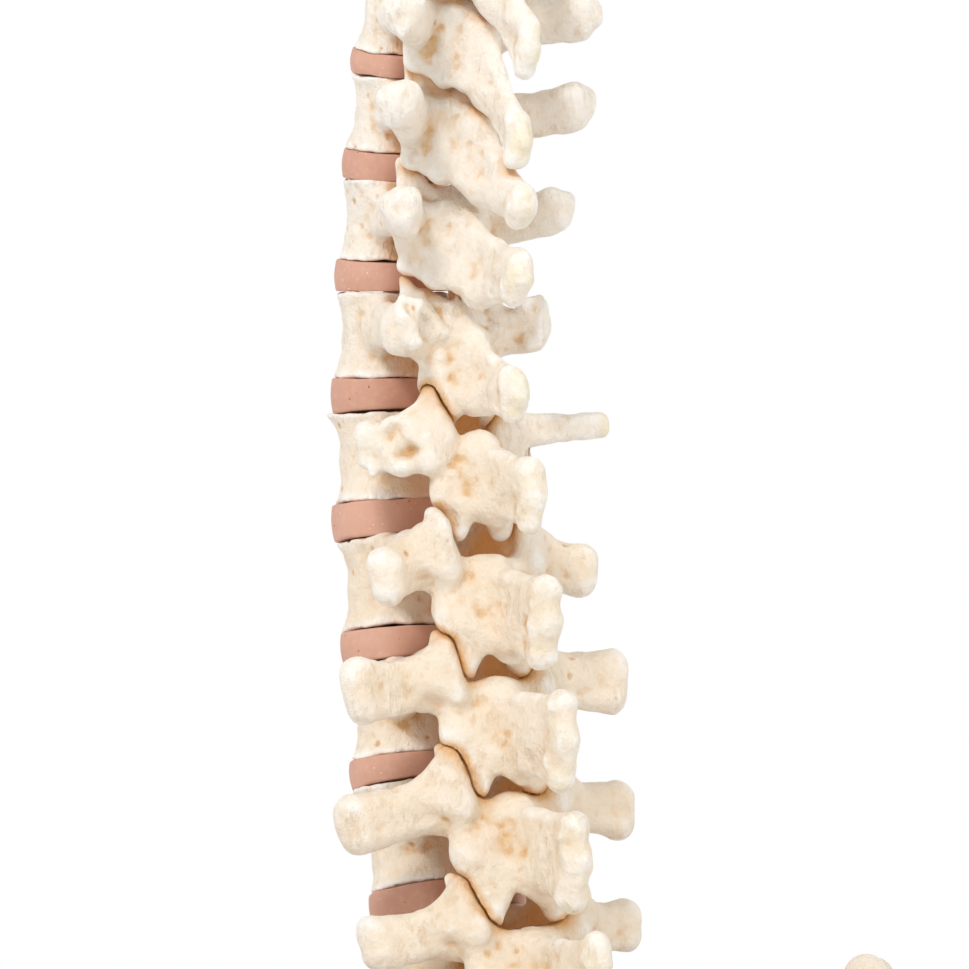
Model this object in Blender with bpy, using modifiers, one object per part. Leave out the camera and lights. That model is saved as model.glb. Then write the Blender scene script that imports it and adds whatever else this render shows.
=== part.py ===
"""Flexible human vertebral column with pelvis, a classroom anatomy model.

Twenty-four cast vertebrae are threaded with soft discs on one flexible core that rises from the sacrum.
The frame's origin is the middle of the stand spigot's lower face: +Z is up, -Y is the front of the body
and +X is its left side.  Shapes are described in millimetres and scaled to metres when they are built.
"""
from collections import namedtuple
from math import pi, radians

import bmesh
import bpy
from mathutils import Euler, Matrix, Vector

MM = 0.001

# Driving dimensions, in millimetres and degrees
CORE_RADIUS = 3.0
BORE_RADIUS = 3.9
DISC_GAP = 0.45                 # between a disc and each endplate
JOINT_GAP = 0.4                 # between pieces that are clamped together
VOXEL = 1.1                     # cell of the remesh that fuses the shapes of one bone
PELVIC_TILT = 8.0               # forward tilt of the pelvis beyond upright standing
SACRAL_SLOPE = 40.0             # slope of the top of the sacrum in upright standing
SACRUM_TOP = Vector((0.0, -11.0, 56.0))
SPIGOT_RADIUS = 8.0
SPIGOT_LENGTH = 34.0
SCREW_RADIUS = 2.5
SCREW_HEAD_RADIUS = 5.0
SCREW_HEAD_LENGTH = 4.0
SCREW_SEAT = 15.0               # from the sacroiliac joint out to the seat of the screw's head
SCREW_DEPTH = 16.0              # length of the screw inside the sacrum
SEAT_DEPTH = 24.0               # cutter of the counterbore that the screw's head sits in
SEAT_MARGIN = 1.5               # space round the head in its counterbore
SACROILIAC_PLANE = 46.0         # distance of the sacroiliac joints from the middle
SYMPHYSIS_HALF = 3.2            # half the thickness of the pad between the pubic bones
SACRUM_END = -87.5              # height of the sacrum's lower end, from the middle of its top
BALL_SWELL = 1.08               # makes up for the flat faces of the balls
CORE_DEPTH_IN_SACRUM = 24.0
OUTLINE_SIDES = 16
BORE_SIDES = 10

# tilt: lean of the bone's own axis towards the front.  disc: height of the disc below the bone.
# process: tip of the transverse process (x, y, z, radius).  top, bottom: ends (y, z) of the rear edge of
# the spinous process, thick: its radius.  arch: how far the joint processes lie behind the body's middle.
Bone = namedtuple("Bone", "name kind tilt width depth height disc process top bottom thick arch faces")
BONES = [
    Bone("L5", "lumbar", 33.0, 50, 34, 26.5, 9.5, (40, 19, 6, 5.5), (56, -8), (54, -16), 3.6, 29, 300),
    Bone("L4", "lumbar", 24.0, 47, 34, 27.5, 9.5, (39.5, 22, 2, 5.0), (63, -15), (58, -23), 3.8, 30, 320),
    Bone("L3", "lumbar", 17.0, 45, 33, 28.5, 8.6, (41.5, 26, -1, 5.4), (66, -12), (59, -30), 4.0, 34, 330),
    Bone("L2", "lumbar", 11.0, 43, 32, 25.6, 7.5, (40.0, 34, 1, 5.0), (69, -8), (64, -27), 4.0, 36, 330),
    Bone("L1", "lumbar", 9.0, 41, 31, 24.7, 8.3, (31.0, 38, -2, 5.0), (67, -9), (62, -26), 4.2, 37, 330),
    Bone("T12", "transition", 7.0, 39, 30, 24.3, 9.5, (23.5, 22, 2, 3.4), (64, -10), (62, -23), 3.8, 34, 340),
    Bone("T11", "transition", 0.0, 35, 29, 23.3, 9.0, (22.5, 37, 3, 3.4), (59.5, -11), (58, -20), 3.2, 32, 330),
    Bone("T10", "thoracic", -4.0, 32, 28, 21.8, 8.0, (25.0, 41, 5, 5.0), (61, -7), (59, -16), 3.4, 26, 320),
    Bone("T9", "thoracic", -7.5, 31, 27, 20.5, 7.5, (28.5, 42, 6.5, 5.6), (62, -15), (60.5, -21), 2.9, 26, 320),
    Bone("T8", "thoracic", -9.5, 30, 26, 20.0, 6.0, (28.5, 41, 5.5, 5.6), (57, -20), (58.3, -29.5), 2.6, 25, 320),
    Bone("T7", "thoracic", -10.0, 29, 25, 19.5, 5.0, (29.5, 39, 5, 5.4), (59, -20), (58, -31), 2.6, 24, 270),
    Bone("T6", "thoracic", -8.0, 28, 24, 19.0, 5.0, (30.0, 37, 5, 5.0), (56, -21), (55, -31), 2.6, 23, 270),
    Bone("T5", "thoracic", -5.0, 27, 23, 18.5, 4.5, (30.5, 34, 5, 4.8), (53, -21), (52, -30), 2.8, 23, 270),
    Bone("T4", "thoracic", -1.0, 26, 22, 18.0, 4.5, (31.0, 31, 5, 4.8), (51, -19), (50, -27), 2.8, 22, 270),
    Bone("T3", "thoracic", 4.0, 27, 20, 17.5, 4.0, (31.5, 28, 4, 4.8), (49, -15), (48, -22), 2.8, 21, 270),
    Bone("T2", "thoracic", 9.0, 28, 19, 17.0, 4.0, (33.0, 24, 4, 4.8), (48, -11), (47, -18), 2.8, 20, 270),
    Bone("T1", "thoracic", 13.0, 29, 18, 16.5, 4.5, (36.0, 18, 4, 4.6), (49, -6), (48, -12), 2.8, 19, 270),
    Bone("C7", "cervical", 14.0, 27, 17, 14.5, 5.0, (31.0, 8, 1, 3.4), (47, -4), (47, -8), 3.2, 17, 250),
    Bone("C6", "cervical", 11.0, 25, 16, 13.0, 5.0, (27.5, 5, -1, 3.0), (39, -4), (39, -8), 2.8, 16, 240),
    Bone("C5", "cervical", 7.0, 24, 16, 12.5, 5.0, (26.0, 4, -1, 3.0), (33, -4), (33, -8), 2.6, 16, 240),
    Bone("C4", "cervical", 2.0, 23, 15.5, 12.5, 5.0, (25.5, 4, -1, 3.0), (31, -4), (31, -8), 2.6, 15, 240),
    Bone("C3", "cervical", -2.0, 22, 15, 12.5, 5.0, (25.0, 4, -1, 3.0), (30, -3), (30, -7), 2.6, 15, 240),
    Bone("C2", "axis", -5.0, 21, 15, 17.0, 4.5, (26.0, 4, -1, 3.2), (32, -3), (32, -9), 3.6, 15, 290),
]
LUMBAR_FACET_SIDE = 13.4        # from the middle to a joint process, in a lumbar bone of LUMBAR_WIDTH
LUMBAR_WIDTH = 41.0
FACET_SPREAD = 0.42             # how much further out it is for each millimetre of extra width
TRANSITION_FACET_SIDE = 10.0
CERVICAL_FACET_SIDE = 11.0
LAST_LUMBAR = ("L4", "L5")      # bones whose laminae start lower
BODY_WAIST = 0.86               # share of a body's width that its waist keeps
REAR_SHARE = 0.9                # depth of the rear half of an endplate, as a share of the front half
REAR_HOLLOW = 0.12              # further share taken off in the middle of the rear edge
BACK_FLATNESS = 0.88            # depth of the drum inside a body, as a share of the body's
DRUM_SHARE = 0.8                # height of that drum, as a share of the body's
RIB_STUB_TIP = (-41.5, 35.5)    # x, y of the long right process of the twelfth thoracic vertebra
BORE_EXCESS = 6.0               # how far a bore's cutter stands out of a bone at each end
BLIND_BORE_LENGTH = 22.0        # cutter of the axis's bore, which stops inside the bone
BLIND_BORE_DROP = 8.0
ATLAS_RISE = 14.4               # from the middle of the axis's body to the middle of the atlas
DENS_TOP = 25.5
DENS_BACK = -0.5
WASHER_RADIUS = 5.6
WASHER_HEIGHT = 1.2
EYE_WIRE = 1.9                  # radius of the eye's wire and shank
EYE_RADIUS = 7.0                # radius of the loop's centre line
EYE_RISE = 11.0                 # from the washer to the middle of the loop
EYE_SHANK_DEPTH = 22.0          # length of the shank below the top of the dens
COLLAR_RADIUS = 3.6

BONE_COLOR = (0.86, 0.79, 0.66)
DISC_COLOR = (0.50, 0.26, 0.20)
METAL_COLOR = (0.62, 0.62, 0.60)


def remove_scene_objects():
    for item in list(bpy.data.objects):
        bpy.data.objects.remove(item, do_unlink=True)


def new_collection(name):
    group = bpy.data.collections.new(name)
    bpy.context.scene.collection.children.link(group)
    return group


def make_material(name, color, roughness, metallic=0.0):
    material = bpy.data.materials.new(name)
    material.use_nodes = True
    shader = material.node_tree.nodes["Principled BSDF"]
    shader.inputs["Base Color"].default_value = (*color, 1.0)
    shader.inputs["Roughness"].default_value = roughness
    shader.inputs["Metallic"].default_value = metallic
    return material


def bone_material(name):
    return make_material(name, BONE_COLOR, 0.55)


def disc_material(name):
    return make_material(name, DISC_COLOR, 0.6)


def metal_material(name):
    return make_material(name, METAL_COLOR, 0.3, 1.0)


# ---- frames -------------------------------------------------------------------------------------------

def lean(degrees):
    """Rotation that leans the upright axis towards the front."""
    return Euler((radians(degrees), 0.0, 0.0)).to_matrix()


def frame(origin, degrees):
    """Matrix in metres of a frame with its origin given in millimetres."""
    return Matrix.Translation(origin * MM) @ lean(degrees).to_4x4()


def stack():
    """Follow the column up from the sacrum: the centre, tilt and endplates of each bone and disc."""
    levels = []
    top = SACRUM_TOP.copy()
    lower_tilt = SACRAL_SLOPE + PELVIC_TILT
    for bone in BONES:
        middle = (lower_tilt + bone.tilt) / 2.0
        disc = top + lean(middle) @ Vector((0, 0, bone.disc / 2.0))
        base = top + lean(middle) @ Vector((0, 0, bone.disc))
        axis = lean(bone.tilt) @ Vector((0, 0, 1))
        levels.append({"bone": bone, "below": top, "below_tilt": lower_tilt, "disc": disc,
                       "base": base, "centre": base + axis * bone.height / 2.0})
        top = base + axis * bone.height
        lower_tilt = bone.tilt
    return levels


# ---- shapes -------------------------------------------------------------------------------------------

def add_hull(shape, balls, offset):
    """Add the convex hull of some balls, each (x, y, z, radius)."""
    part = bmesh.new()
    for x, y, z, radius in balls:
        place = Matrix.Translation((Vector((x, y, z)) + offset) * MM)
        bmesh.ops.create_icosphere(part, subdivisions=1, radius=radius * BALL_SWELL * MM,
                                   matrix=place)
    bmesh.ops.delete(part, geom=part.edges[:] + part.faces[:], context="EDGES_FACES")
    hull = bmesh.ops.convex_hull(part, input=part.verts[:])
    inside = [item for item in hull["geom_interior"] if isinstance(item, bmesh.types.BMVert)]
    bmesh.ops.delete(part, geom=inside, context="VERTS")
    bmesh.ops.recalc_face_normals(part, faces=part.faces[:])
    copy = bpy.data.meshes.new("hull")
    part.to_mesh(copy)
    part.free()
    shape.from_mesh(copy)
    bpy.data.meshes.remove(copy)


def add_pair(shape, balls, offset):
    """Add a hull and its mirror image on the other side of the body."""
    add_hull(shape, balls, offset)
    add_hull(shape, [(-x, y, z, radius) for x, y, z, radius in balls], offset)


def outline_point(x, y, width, depth):
    """Turn a point of the unit circle into one of an endplate's outline, flatter at the back."""
    y_scale = depth / 2.0
    if y > 0.0:
        y_scale *= REAR_SHARE - REAR_HOLLOW * (1.0 - abs(x)) ** 2
    return x * width / 2.0, y * y_scale


def add_waisted_body(shape, bone, offset):
    """Add a vertebral body: two cones that meet in a waist between flared rims."""
    for side in (-1.0, 1.0):
        cone = bmesh.new()
        bmesh.ops.create_cone(cone, cap_ends=True, segments=OUTLINE_SIDES, radius1=1.0, radius2=BODY_WAIST,
                              depth=1.0)
        for point in cone.verts:
            x, y = outline_point(point.co.x, point.co.y, bone.width, bone.depth)
            rise = side * (0.25 - point.co.z / 2.0) * bone.height
            point.co = (Vector((x, y, rise)) + offset) * MM
        bmesh.ops.recalc_face_normals(cone, faces=cone.faces[:])
        copy = bpy.data.meshes.new("body")
        cone.to_mesh(copy)
        cone.free()
        shape.from_mesh(copy)
        bpy.data.meshes.remove(copy)


def add_core_of_body(shape, bone, offset):
    """Add a drum through the waist, so the two cones overlap."""
    radius = 0.5 * (BODY_WAIST - 0.02) * MM
    stretch = Matrix.Diagonal((bone.width, bone.depth * BACK_FLATNESS, 1.0, 1.0))
    place = Matrix.Translation(offset * MM) @ stretch
    bmesh.ops.create_cone(shape, cap_ends=True, segments=OUTLINE_SIDES, radius1=radius, radius2=radius,
                          depth=bone.height * DRUM_SHARE * MM, matrix=place)


def add_spinous_process(bone, shape, offset, root_top, root_bottom):
    """Blade from the joined laminae, whose corners are (y, z), to a thick rear edge."""
    (top_y, top_z), (bottom_y, bottom_z), thick = bone.top, bone.bottom, bone.thick
    middle = (0, (top_y + bottom_y) / 2.0 + 1.2, (top_z + bottom_z) / 2.0, thick)
    top = (0, top_y, top_z, thick * 0.82)
    bottom = (0, bottom_y, bottom_z, thick * 0.92)
    add_hull(shape, [(0, *root_top, 3.2), (0, *root_bottom, 2.8), top, middle, bottom], offset)


def lumbar_arch(bone, shape, offset):
    """Broad square arch: pedicles, two pairs of joint processes, laminae and side processes."""
    back = bone.depth / 2.0
    arch = bone.arch
    half = bone.height / 2.0
    side = LUMBAR_FACET_SIDE + (bone.width - LUMBAR_WIDTH) * FACET_SPREAD
    x, y, z, radius = bone.process
    tall = radius * (1.0 if bone.name == "L2" else 0.7)
    rise = -5.5 if bone.name in LAST_LUMBAR else -1.6
    paired = [
        [(bone.width * 0.29, back - 5, 7, 3.8), (bone.width * 0.29, back - 5, 1, 4.0),
         (side, arch - 5, 6, 3.8), (side, arch - 5, 1, 3.6)],
        [(side, arch - 5, 2, 3.4), (side + 0.4, arch - 1.5, half + 2.0, 1.8),
         (side - 0.4, arch + 3.5, 1, 3.0), (side + 0.2, arch + 2.8, half - 1.0, 2.0)],
        [(side + 2.4, arch + 2.0, half - 3.0, 2.3), (side + 3.2, arch + 2.2, 3, 3.3),
         (side + 0.2, arch + 1.5, half - 3.0, 2.0), (side, arch + 1, 2, 3.0)],
        [(side - 0.5, arch + 1, -1, 3.2), (0, arch + 3.0, rise, 3.2),
         (side - 3.0, arch + 0.5, -11, 2.8), (0, arch + 8, -21, 2.7)],
        [(side - 4.2, arch + 0.5, -12, 2.6), (5.0, arch + 6.5, -18, 2.6),
         (side - 6.8, arch + 2.0, -half - 10.5, 2.4)],
        [(side + 1, arch - 5, 6, 3.2), (side + 1, arch - 5, -1, 3.0),
         (x, y, z + tall, radius * 0.7), (x - 1.2, y - 0.5, z - tall, radius * 0.76)],
    ]
    for balls in paired:
        add_pair(shape, balls, offset)
    add_spinous_process(bone, shape, offset, (arch + 7, rise - 2), (arch + 9, -20))


def thoracic_arch(bone, shape, offset):
    """Shingled arch: laminae that slope down behind the next bone, and a club on each side."""
    back = bone.depth / 2.0
    arch = bone.arch
    half = bone.height / 2.0
    low = -half + 0.4
    x, y, z, radius = bone.process
    paired = [
        [(bone.width * 0.28, back - 5, 5, 3.2), (bone.width * 0.28, back - 5, 0, 3.2),
         (11.0, arch - 3, 4, 3.2), (11.0, arch - 3, 0, 2.8)],
        [(11.3, arch - 1, 2, 2.9), (5.5, arch + 5, 4, 2.6), (11.0, arch - 1.4, low, 1.9),
         (7.6, arch + 6, low - 2.8, 2.1)],
        [(5.5, arch + 5, 4, 2.6), (7.6, arch + 6, low - 2.8, 2.1), (0, arch + 9.5, 1, 2.7),
         (4.0, arch + 12, low - 3.2, 2.1), (0, arch + 15.5, low - 5.5, 2.5)],
        [(10.6, arch - 4.5, 3, 2.4), (5.0, arch - 3, 4, 2.1), (10.4, arch - 7.8, half + 5.2, 1.4),
         (5.4, arch - 7.4, half + 4.6, 1.3)],
        [(6.0, arch - 2.5, 4, 2.1), (6.0, arch - 5.8, half + 3, 1.4), (0, arch + 4.5, 3, 2.2),
         (1.5, arch, half - 1, 1.5)],
        [(11.0, arch - 1, 3, 4.0), (11.0, arch + 1, -2, 2.6), (x - 3, y - 3, z, radius * 0.76)],
        [(x - 3, y - 3, z, radius * 0.8), (x, y, z, radius),
         (x - 1.5, y + 0.5, z - radius * 0.8, radius * 0.62)],
    ]
    for balls in paired:
        add_pair(shape, balls, offset)
    add_spinous_process(bone, shape, offset, (arch + 12, -1), (arch + 17, low - 6))


def transition_arch(bone, shape, offset):
    """Arch of the lowest two thoracic bones, with knobs in place of a side process."""
    back = bone.depth / 2.0
    arch = bone.arch
    half = bone.height / 2.0
    side = TRANSITION_FACET_SIDE
    last = bone.name == "T12"
    x, y, z, radius = bone.process
    upper = (side + 1, arch, half + 1.5, 2.0) if last else (side + 1.0, arch - 9.4, half + 3.2, 1.6)
    paired = [
        [(bone.width * 0.28, back - 5, 6, 3.6), (bone.width * 0.28, back - 5, 0, 3.6),
         (side + 1.5, arch - 5, 5, 3.6), (side + 1.5, arch - 5, 0, 3.2)],
        [(side + 1, arch - 5, 3, 3.2), upper, (side - 1, arch + 3.5, 1, 3.0)],
        [(side + 0.5, arch - 2, half - 1, 1.8), (side + 1, arch - 6, half - 1.5, 1.8),
         (side + 0.5, arch, 4, 2.6)],
        [(side - 0.5, arch + 1, -1, 3.1), (0, arch + 5, -1.6, 3.0), (side - 3.4, arch + 1, -9.5, 2.5),
         (0, arch + 10, -18 if last else -16.5, 2.5)],
        [(side - 4.6, arch + 1.5, -10, 2.3), (4.5, arch + 7.5, -16.5, 2.4),
         (side - 6.6, arch + 4.5, -half - 9, 2.1)],
    ]
    if last:
        paired += [
            [(side + 3, arch - 6, 7, 3.2), (side + 3, arch - 6, -2, 3.2), (x, y, z + 3.5, 2.8),
             (x - 0.5, y - 0.5, z - 4.5, 2.8)],
            [(side + 2, arch, 4, 3.4), (side + 9.5, arch - 3, 3.5, 2.6), (side + 4, arch + 3, -2.5, 3.0),
             (side + 8.5, arch - 1, -3.5, 2.8)],
            [(side + 7.5, arch + 3, half - 0.5, 2.0), (side + 6, arch + 3, 2, 3.2),
             (side + 2, arch + 1, 2, 3.0)],
        ]
        tip_x, tip_y = RIB_STUB_TIP
        stub = [(-side - 7, arch + 1, 6.0, 2.6), (-side - 7, arch + 1, 1.4, 2.6), (tip_x, tip_y, 5.2, 2.2),
                (tip_x, tip_y, 2.9, 2.2)]
        add_hull(shape, stub, offset)
    else:
        paired += [
            [(side, arch - 4, 3, 4.8), (x - 2, y - 1, z - 1, 4.3), (x + 0.6, y, z - 2.5, 4.0)],
            [(x - 0.5, y, z + 1, 3.2), (x - 1.2, y + 1, z + 7.5, 1.9), (x - 5, y + 3.0, z + 3, 2.4)],
            [(x - 5, y + 3.0, z + 4, 2.4), (x - 5, y + 3.4, z - 5.0, 2.3), (x - 2, y, z, 3.4)],
        ]
    for balls in paired:
        add_pair(shape, balls, offset)
    add_spinous_process(bone, shape, offset, (arch + 8, -3), (arch + 12, -17))


def cervical_arch(bone, shape, offset):
    back = bone.depth / 2.0
    side = CERVICAL_FACET_SIDE
    x, y, z, radius = bone.process
    tip = (3.0, bone.top[0], (bone.top[1] + bone.bottom[1]) / 2.0, bone.thick)
    paired = [
        [(bone.width * 0.36, back - 3, 1, 3.0), (side + 4, back + 4, 1, 3.0)],
        [(side + 5, back + 5, 4.2, 3.2), (side + 4, back + 7, -3.8, 3.2)],
        [(side + 3, back + 8, 2, 2.2), (side + 2, back + 9, -3, 2.2),
         (0, back + 15, 1, 2.3), (0, back + 16, -4.5, 2.3)],
        [(bone.width * 0.38, -1, -1, 2.6), (x, y - 4, z, radius * 0.8)],
        [(side + 5, back + 3, 0, 2.8), (x, y, z, radius)],
        [(0, back + 15, -2, 2.4), tip],
    ]
    for balls in paired:
        add_pair(shape, balls, offset)


def axis_arch(bone, shape, offset):
    """Second cervical vertebra: the dens, the sloping shoulders and a heavy arch."""
    back = bone.depth / 2.0
    paired = [
        [(11.0, 0, 5.0, 3.4), (17.0, 1, 3.2, 3.0), (8.0, 0, -2, 4.0), (14, 3, -1, 3.0)],
        [(13, 4, 0, 4.0), (15, back + 6, -3.5, 3.4)],
        [(13, back + 4, 1, 3.0), (13, back + 7, -4, 2.8), (0, back + 17, 1, 3.2), (0, back + 18, -5, 2.8)],
        [(14, 2, -2, 3.2), (24, 5, -3, 2.8)],
        [(0, back + 17, -2, 3.2), (4.0, bone.top[0], -6, bone.thick)],
    ]
    for balls in paired:
        add_pair(shape, balls, offset)
    add_hull(shape, [(0, DENS_BACK, 6, 5.6), (0, DENS_BACK, DENS_TOP - 4.6, 5.0)], offset)


def atlas_ring(shape, offset):
    """First cervical vertebra: two lateral masses joined by a front and a back arch."""
    paired = [
        [(15, -3, 0, 4.6), (16.5, 4, 0, 4.8), (19, 2, -0.5, 4.0)],
        [(18, 1, 0, 3.4), (36, 3, -1, 3.2)],
        [(15, -4, 0, 3.2), (8, -11, 0, 3.4)],
        [(8, -11, 0, 3.4), (0, -12.5, 0, 3.8)],
        [(17, 6, 0.5, 3.0), (14, 17, 0.5, 2.8)],
        [(14, 17, 0.5, 2.8), (7, 25, 0.5, 2.8)],
        [(7, 25, 0.5, 2.8), (0, 27.5, 0.5, 3.4)],
    ]
    for balls in paired:
        add_pair(shape, balls, offset)


ARCHES = {"lumbar": lumbar_arch, "transition": transition_arch, "thoracic": thoracic_arch,
          "cervical": cervical_arch, "axis": axis_arch}


# ---- building -----------------------------------------------------------------------------------------

def add_object(name, shape, matrix, material, group):
    mesh = bpy.data.meshes.new(name)
    shape.to_mesh(mesh)
    shape.free()
    mesh.materials.append(material)
    item = bpy.data.objects.new(name, mesh)
    item.matrix_world = matrix
    group.objects.link(item)
    return item


def fuse(item, faces):
    """Fuse the overlapping shapes of a bone into one skin of about the given number of triangles."""
    remesh = item.modifiers.new("fuse", "REMESH")
    remesh.mode = "VOXEL"
    remesh.voxel_size = VOXEL * MM
    bpy.context.view_layer.update()
    evaluated = item.evaluated_get(bpy.context.evaluated_depsgraph_get())
    skin = bmesh.new()
    skin.from_mesh(evaluated.data)
    item.modifiers.remove(remesh)
    keep_largest_skin(skin)
    quads = len(skin.faces)
    skin.to_mesh(item.data)
    skin.free()
    thin = item.modifiers.new("thin", "DECIMATE")
    thin.ratio = faces / (2.0 * quads)
    thin.use_collapse_triangulate = True


def keep_largest_skin(skin):
    """Delete the skins of small hollows that the fused shapes close off."""
    groups = []
    waiting = set(skin.verts)
    while waiting:
        edge_of_group = [waiting.pop()]
        group = []
        while edge_of_group:
            vert = edge_of_group.pop()
            group.append(vert)
            for edge in vert.link_edges:
                other = edge.other_vert(vert)
                if other in waiting:
                    waiting.remove(other)
                    edge_of_group.append(other)
        groups.append(group)
    groups.sort(key=len)
    for group in groups[:-1]:
        bmesh.ops.delete(skin, geom=group, context="VERTS")


def add_cutter(name, radius, length, matrix, cutters, sides=BORE_SIDES):
    """A round bar, in hiding, that cuts bores."""
    shape = bmesh.new()
    bmesh.ops.create_cone(shape, cap_ends=True, segments=sides, radius1=radius * MM, radius2=radius * MM,
                          depth=length * MM)
    cutter = add_object(name, shape, matrix, None, cutters)
    cutter.hide_render = True
    cutter.display_type = "WIRE"
    return cutter


def cut(item, cutter):
    boolean = item.modifiers.new("cut_" + cutter.name, "BOOLEAN")
    boolean.operation = "DIFFERENCE"
    boolean.solver = "EXACT"
    boolean.object = cutter


def make_vertebra(level, group, cutters):
    """A vertebra with its origin in the middle of the disc below it, where its joint lies."""
    bone = level["bone"]
    offset = lean(-bone.tilt) @ (level["centre"] - level["disc"])
    shape = bmesh.new()
    add_waisted_body(shape, bone, offset)
    add_core_of_body(shape, bone, offset)
    ARCHES[bone.kind](bone, shape, offset)
    name = "vertebra_" + bone.name
    item = add_object(name, shape, frame(level["disc"], bone.tilt), bone_material("bone_" + bone.name), group)
    fuse(item, bone.faces)
    blind = bone.kind == "axis"
    middle = level["centre"] - lean(bone.tilt) @ Vector((0, 0, BLIND_BORE_DROP if blind else 0.0))
    length = BLIND_BORE_LENGTH if blind else bone.height + 2.0 * BORE_EXCESS
    cut(item, add_cutter("bore_" + bone.name, BORE_RADIUS, length, frame(middle, bone.tilt), cutters))
    if blind:
        shank = top_of_dens(level) @ Matrix.Translation((0, 0, -EYE_SHANK_DEPTH / 2.0 * MM))
        cut(item, add_cutter("bore_dens", EYE_WIRE + JOINT_GAP, EYE_SHANK_DEPTH + 6.0, shank, cutters))
        cut(item, add_block("trim_dens", (-12, -12, 0), (12, 12, 12), top_of_dens(level), cutters))
    return item


def make_disc(level, group, cutters):
    """A disc between two endplates, which may lean to each other, with a bore for the core."""
    bone = level["bone"]
    middle_tilt = (level["below_tilt"] + bone.tilt) / 2.0
    place = frame(level["disc"], middle_tilt)
    back_to_local = place.inverted()
    below = frame(level["below"], level["below_tilt"]) @ Matrix.Translation((0, 0, DISC_GAP * MM))
    above = frame(level["base"], bone.tilt) @ Matrix.Translation((0, 0, -DISC_GAP * MM))
    shape = bmesh.new()
    bmesh.ops.create_cone(shape, cap_ends=True, segments=OUTLINE_SIDES, radius1=1.0, radius2=1.0, depth=1.0)
    for point in shape.verts:
        x, y = outline_point(point.co.x, point.co.y, bone.width, bone.depth)
        endplate = above if point.co.z > 0 else below
        point.co = back_to_local @ (endplate @ Vector((x * MM, y * MM, 0)))
    label = disc_label(level)
    item = add_object("disc_" + label, shape, place, disc_material("disc_rubber_" + label), group)
    cut(item, add_cutter("disc_bore_" + label, BORE_RADIUS, bone.disc * 3.0, place, cutters))
    return item


def disc_label(level):
    names = ["S1"] + [bone.name for bone in BONES]
    return names[names.index(level["bone"].name)] + "_" + names[names.index(level["bone"].name) - 1]


def make_atlas(axis_level, group):
    """The atlas has its origin on the axis of the dens, about which it turns."""
    tilt = axis_level["bone"].tilt
    centre = axis_level["centre"] + lean(tilt) @ Vector((0, 0, ATLAS_RISE))
    shape = bmesh.new()
    atlas_ring(shape, Vector((0, 0, 0)))
    item = add_object("vertebra_C1", shape, frame(centre, tilt), bone_material("bone_C1"), group)
    fuse(item, 300)
    return item


# ---- pelvis -------------------------------------------------------------------------------------------
# Points of the pelvis are measured from the middle of the top of the sacrum, in upright standing.

def pelvis_matrix():
    return frame(SACRUM_TOP, PELVIC_TILT)


def add_sacral_body(shape, width, depth, centre, tilt, height):
    """One segment of the sacrum: a drum with its axis leaning by tilt."""
    place = Matrix.Translation(centre * MM) @ lean(tilt).to_4x4()
    place = place @ Matrix.Diagonal((width / 2.0, depth / 2.0, 1.0, 1.0))
    bmesh.ops.create_cone(shape, cap_ends=True, segments=OUTLINE_SIDES, radius1=0.88 * MM, radius2=1.0 * MM,
                          depth=height * MM, matrix=place)


def make_sacrum(group, cutters):
    shape = bmesh.new()
    first = lean(SACRAL_SLOPE) @ Vector((0, 0, -11.0))
    add_sacral_body(shape, 50, 34, first, SACRAL_SLOPE, 22)
    centre_line = [(0, 7, -11, 12), (0, 22, -30, 11), (0, 32, -49, 9.5), (0, 36, -66, 8), (0, 33.5, -86, 6.5)]
    for lower, upper in zip(centre_line[1:], centre_line[:-1]):
        add_hull(shape, [lower, upper], Vector((0, 0, 0)))
    none = Vector((0, 0, 0))
    paired = [
        [(16, 6, -12, 9), (41, 8, -12, 8), (44, 18, -22, 7), (20, 22, -30, 8)],
        [(42, 12, -20, 8), (43, 26, -36, 7), (18, 28, -38, 8), (20, 20, -24, 8)],
        [(40, 26, -36, 6), (26, 36, -56, 5), (14, 32, -50, 6), (20, 26, -36, 6)],
        [(26, 36, -56, 5), (13, 38, -80, 4.5), (8, 36, -66, 5)],
        [(19, 17, -3, 3.6), (18, 21, 9, 3.4)],
        [(10, 30, -12, 4), (24, 30, -14, 5), (20, 38, -34, 4), (6, 42, -34, 4)],
    ]
    for balls in paired:
        add_pair(shape, balls, none)
    crest = [(0, 33, -8, 3), (0, 42, -24, 3), (0, 47, -44, 3), (0, 46, -60, 3)]
    for lower, upper in zip(crest[1:], crest[:-1]):
        add_hull(shape, [lower, upper, (0, lower[1] - 9, lower[2] + 2, 5)], none)
    item = add_object("sacrum", shape, pelvis_matrix(), bone_material("bone_sacrum"), group)
    fuse(item, 560)
    slope = SACRAL_SLOPE + PELVIC_TILT
    middle = SACRUM_TOP - lean(slope) @ Vector((0, 0, CORE_DEPTH_IN_SACRUM / 2.0 - 5.0))
    length = CORE_DEPTH_IN_SACRUM + 2.0 * BORE_EXCESS
    cut(item, add_cutter("bore_sacrum", BORE_RADIUS, length, frame(middle, slope), cutters))
    cut(item, add_block("trim_sacrum_top", (-27, -20, 0), (27, 16, 40), frame(SACRUM_TOP, slope), cutters))
    cut(item, add_block("trim_sacrum_end", (-30, 0, -120), (30, 60, SACRUM_END), pelvis_matrix(), cutters))
    for side in (-1, 1):
        near, far = sorted((side * SACROILIAC_PLANE, side * (SACROILIAC_PLANE + 30)))
        cut(item, add_block("trim_ala", (near, -60, -90), (far, 80, 40), pelvis_matrix(), cutters))
    spigot_hole = add_cutter("bore_spigot", SPIGOT_RADIUS + JOINT_GAP, SPIGOT_LENGTH,
                             frame(Vector((0, 0, SPIGOT_LENGTH / 2.0 + JOINT_GAP)), 0.0), cutters, 20)
    cut(item, spigot_hole)
    return item


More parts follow.
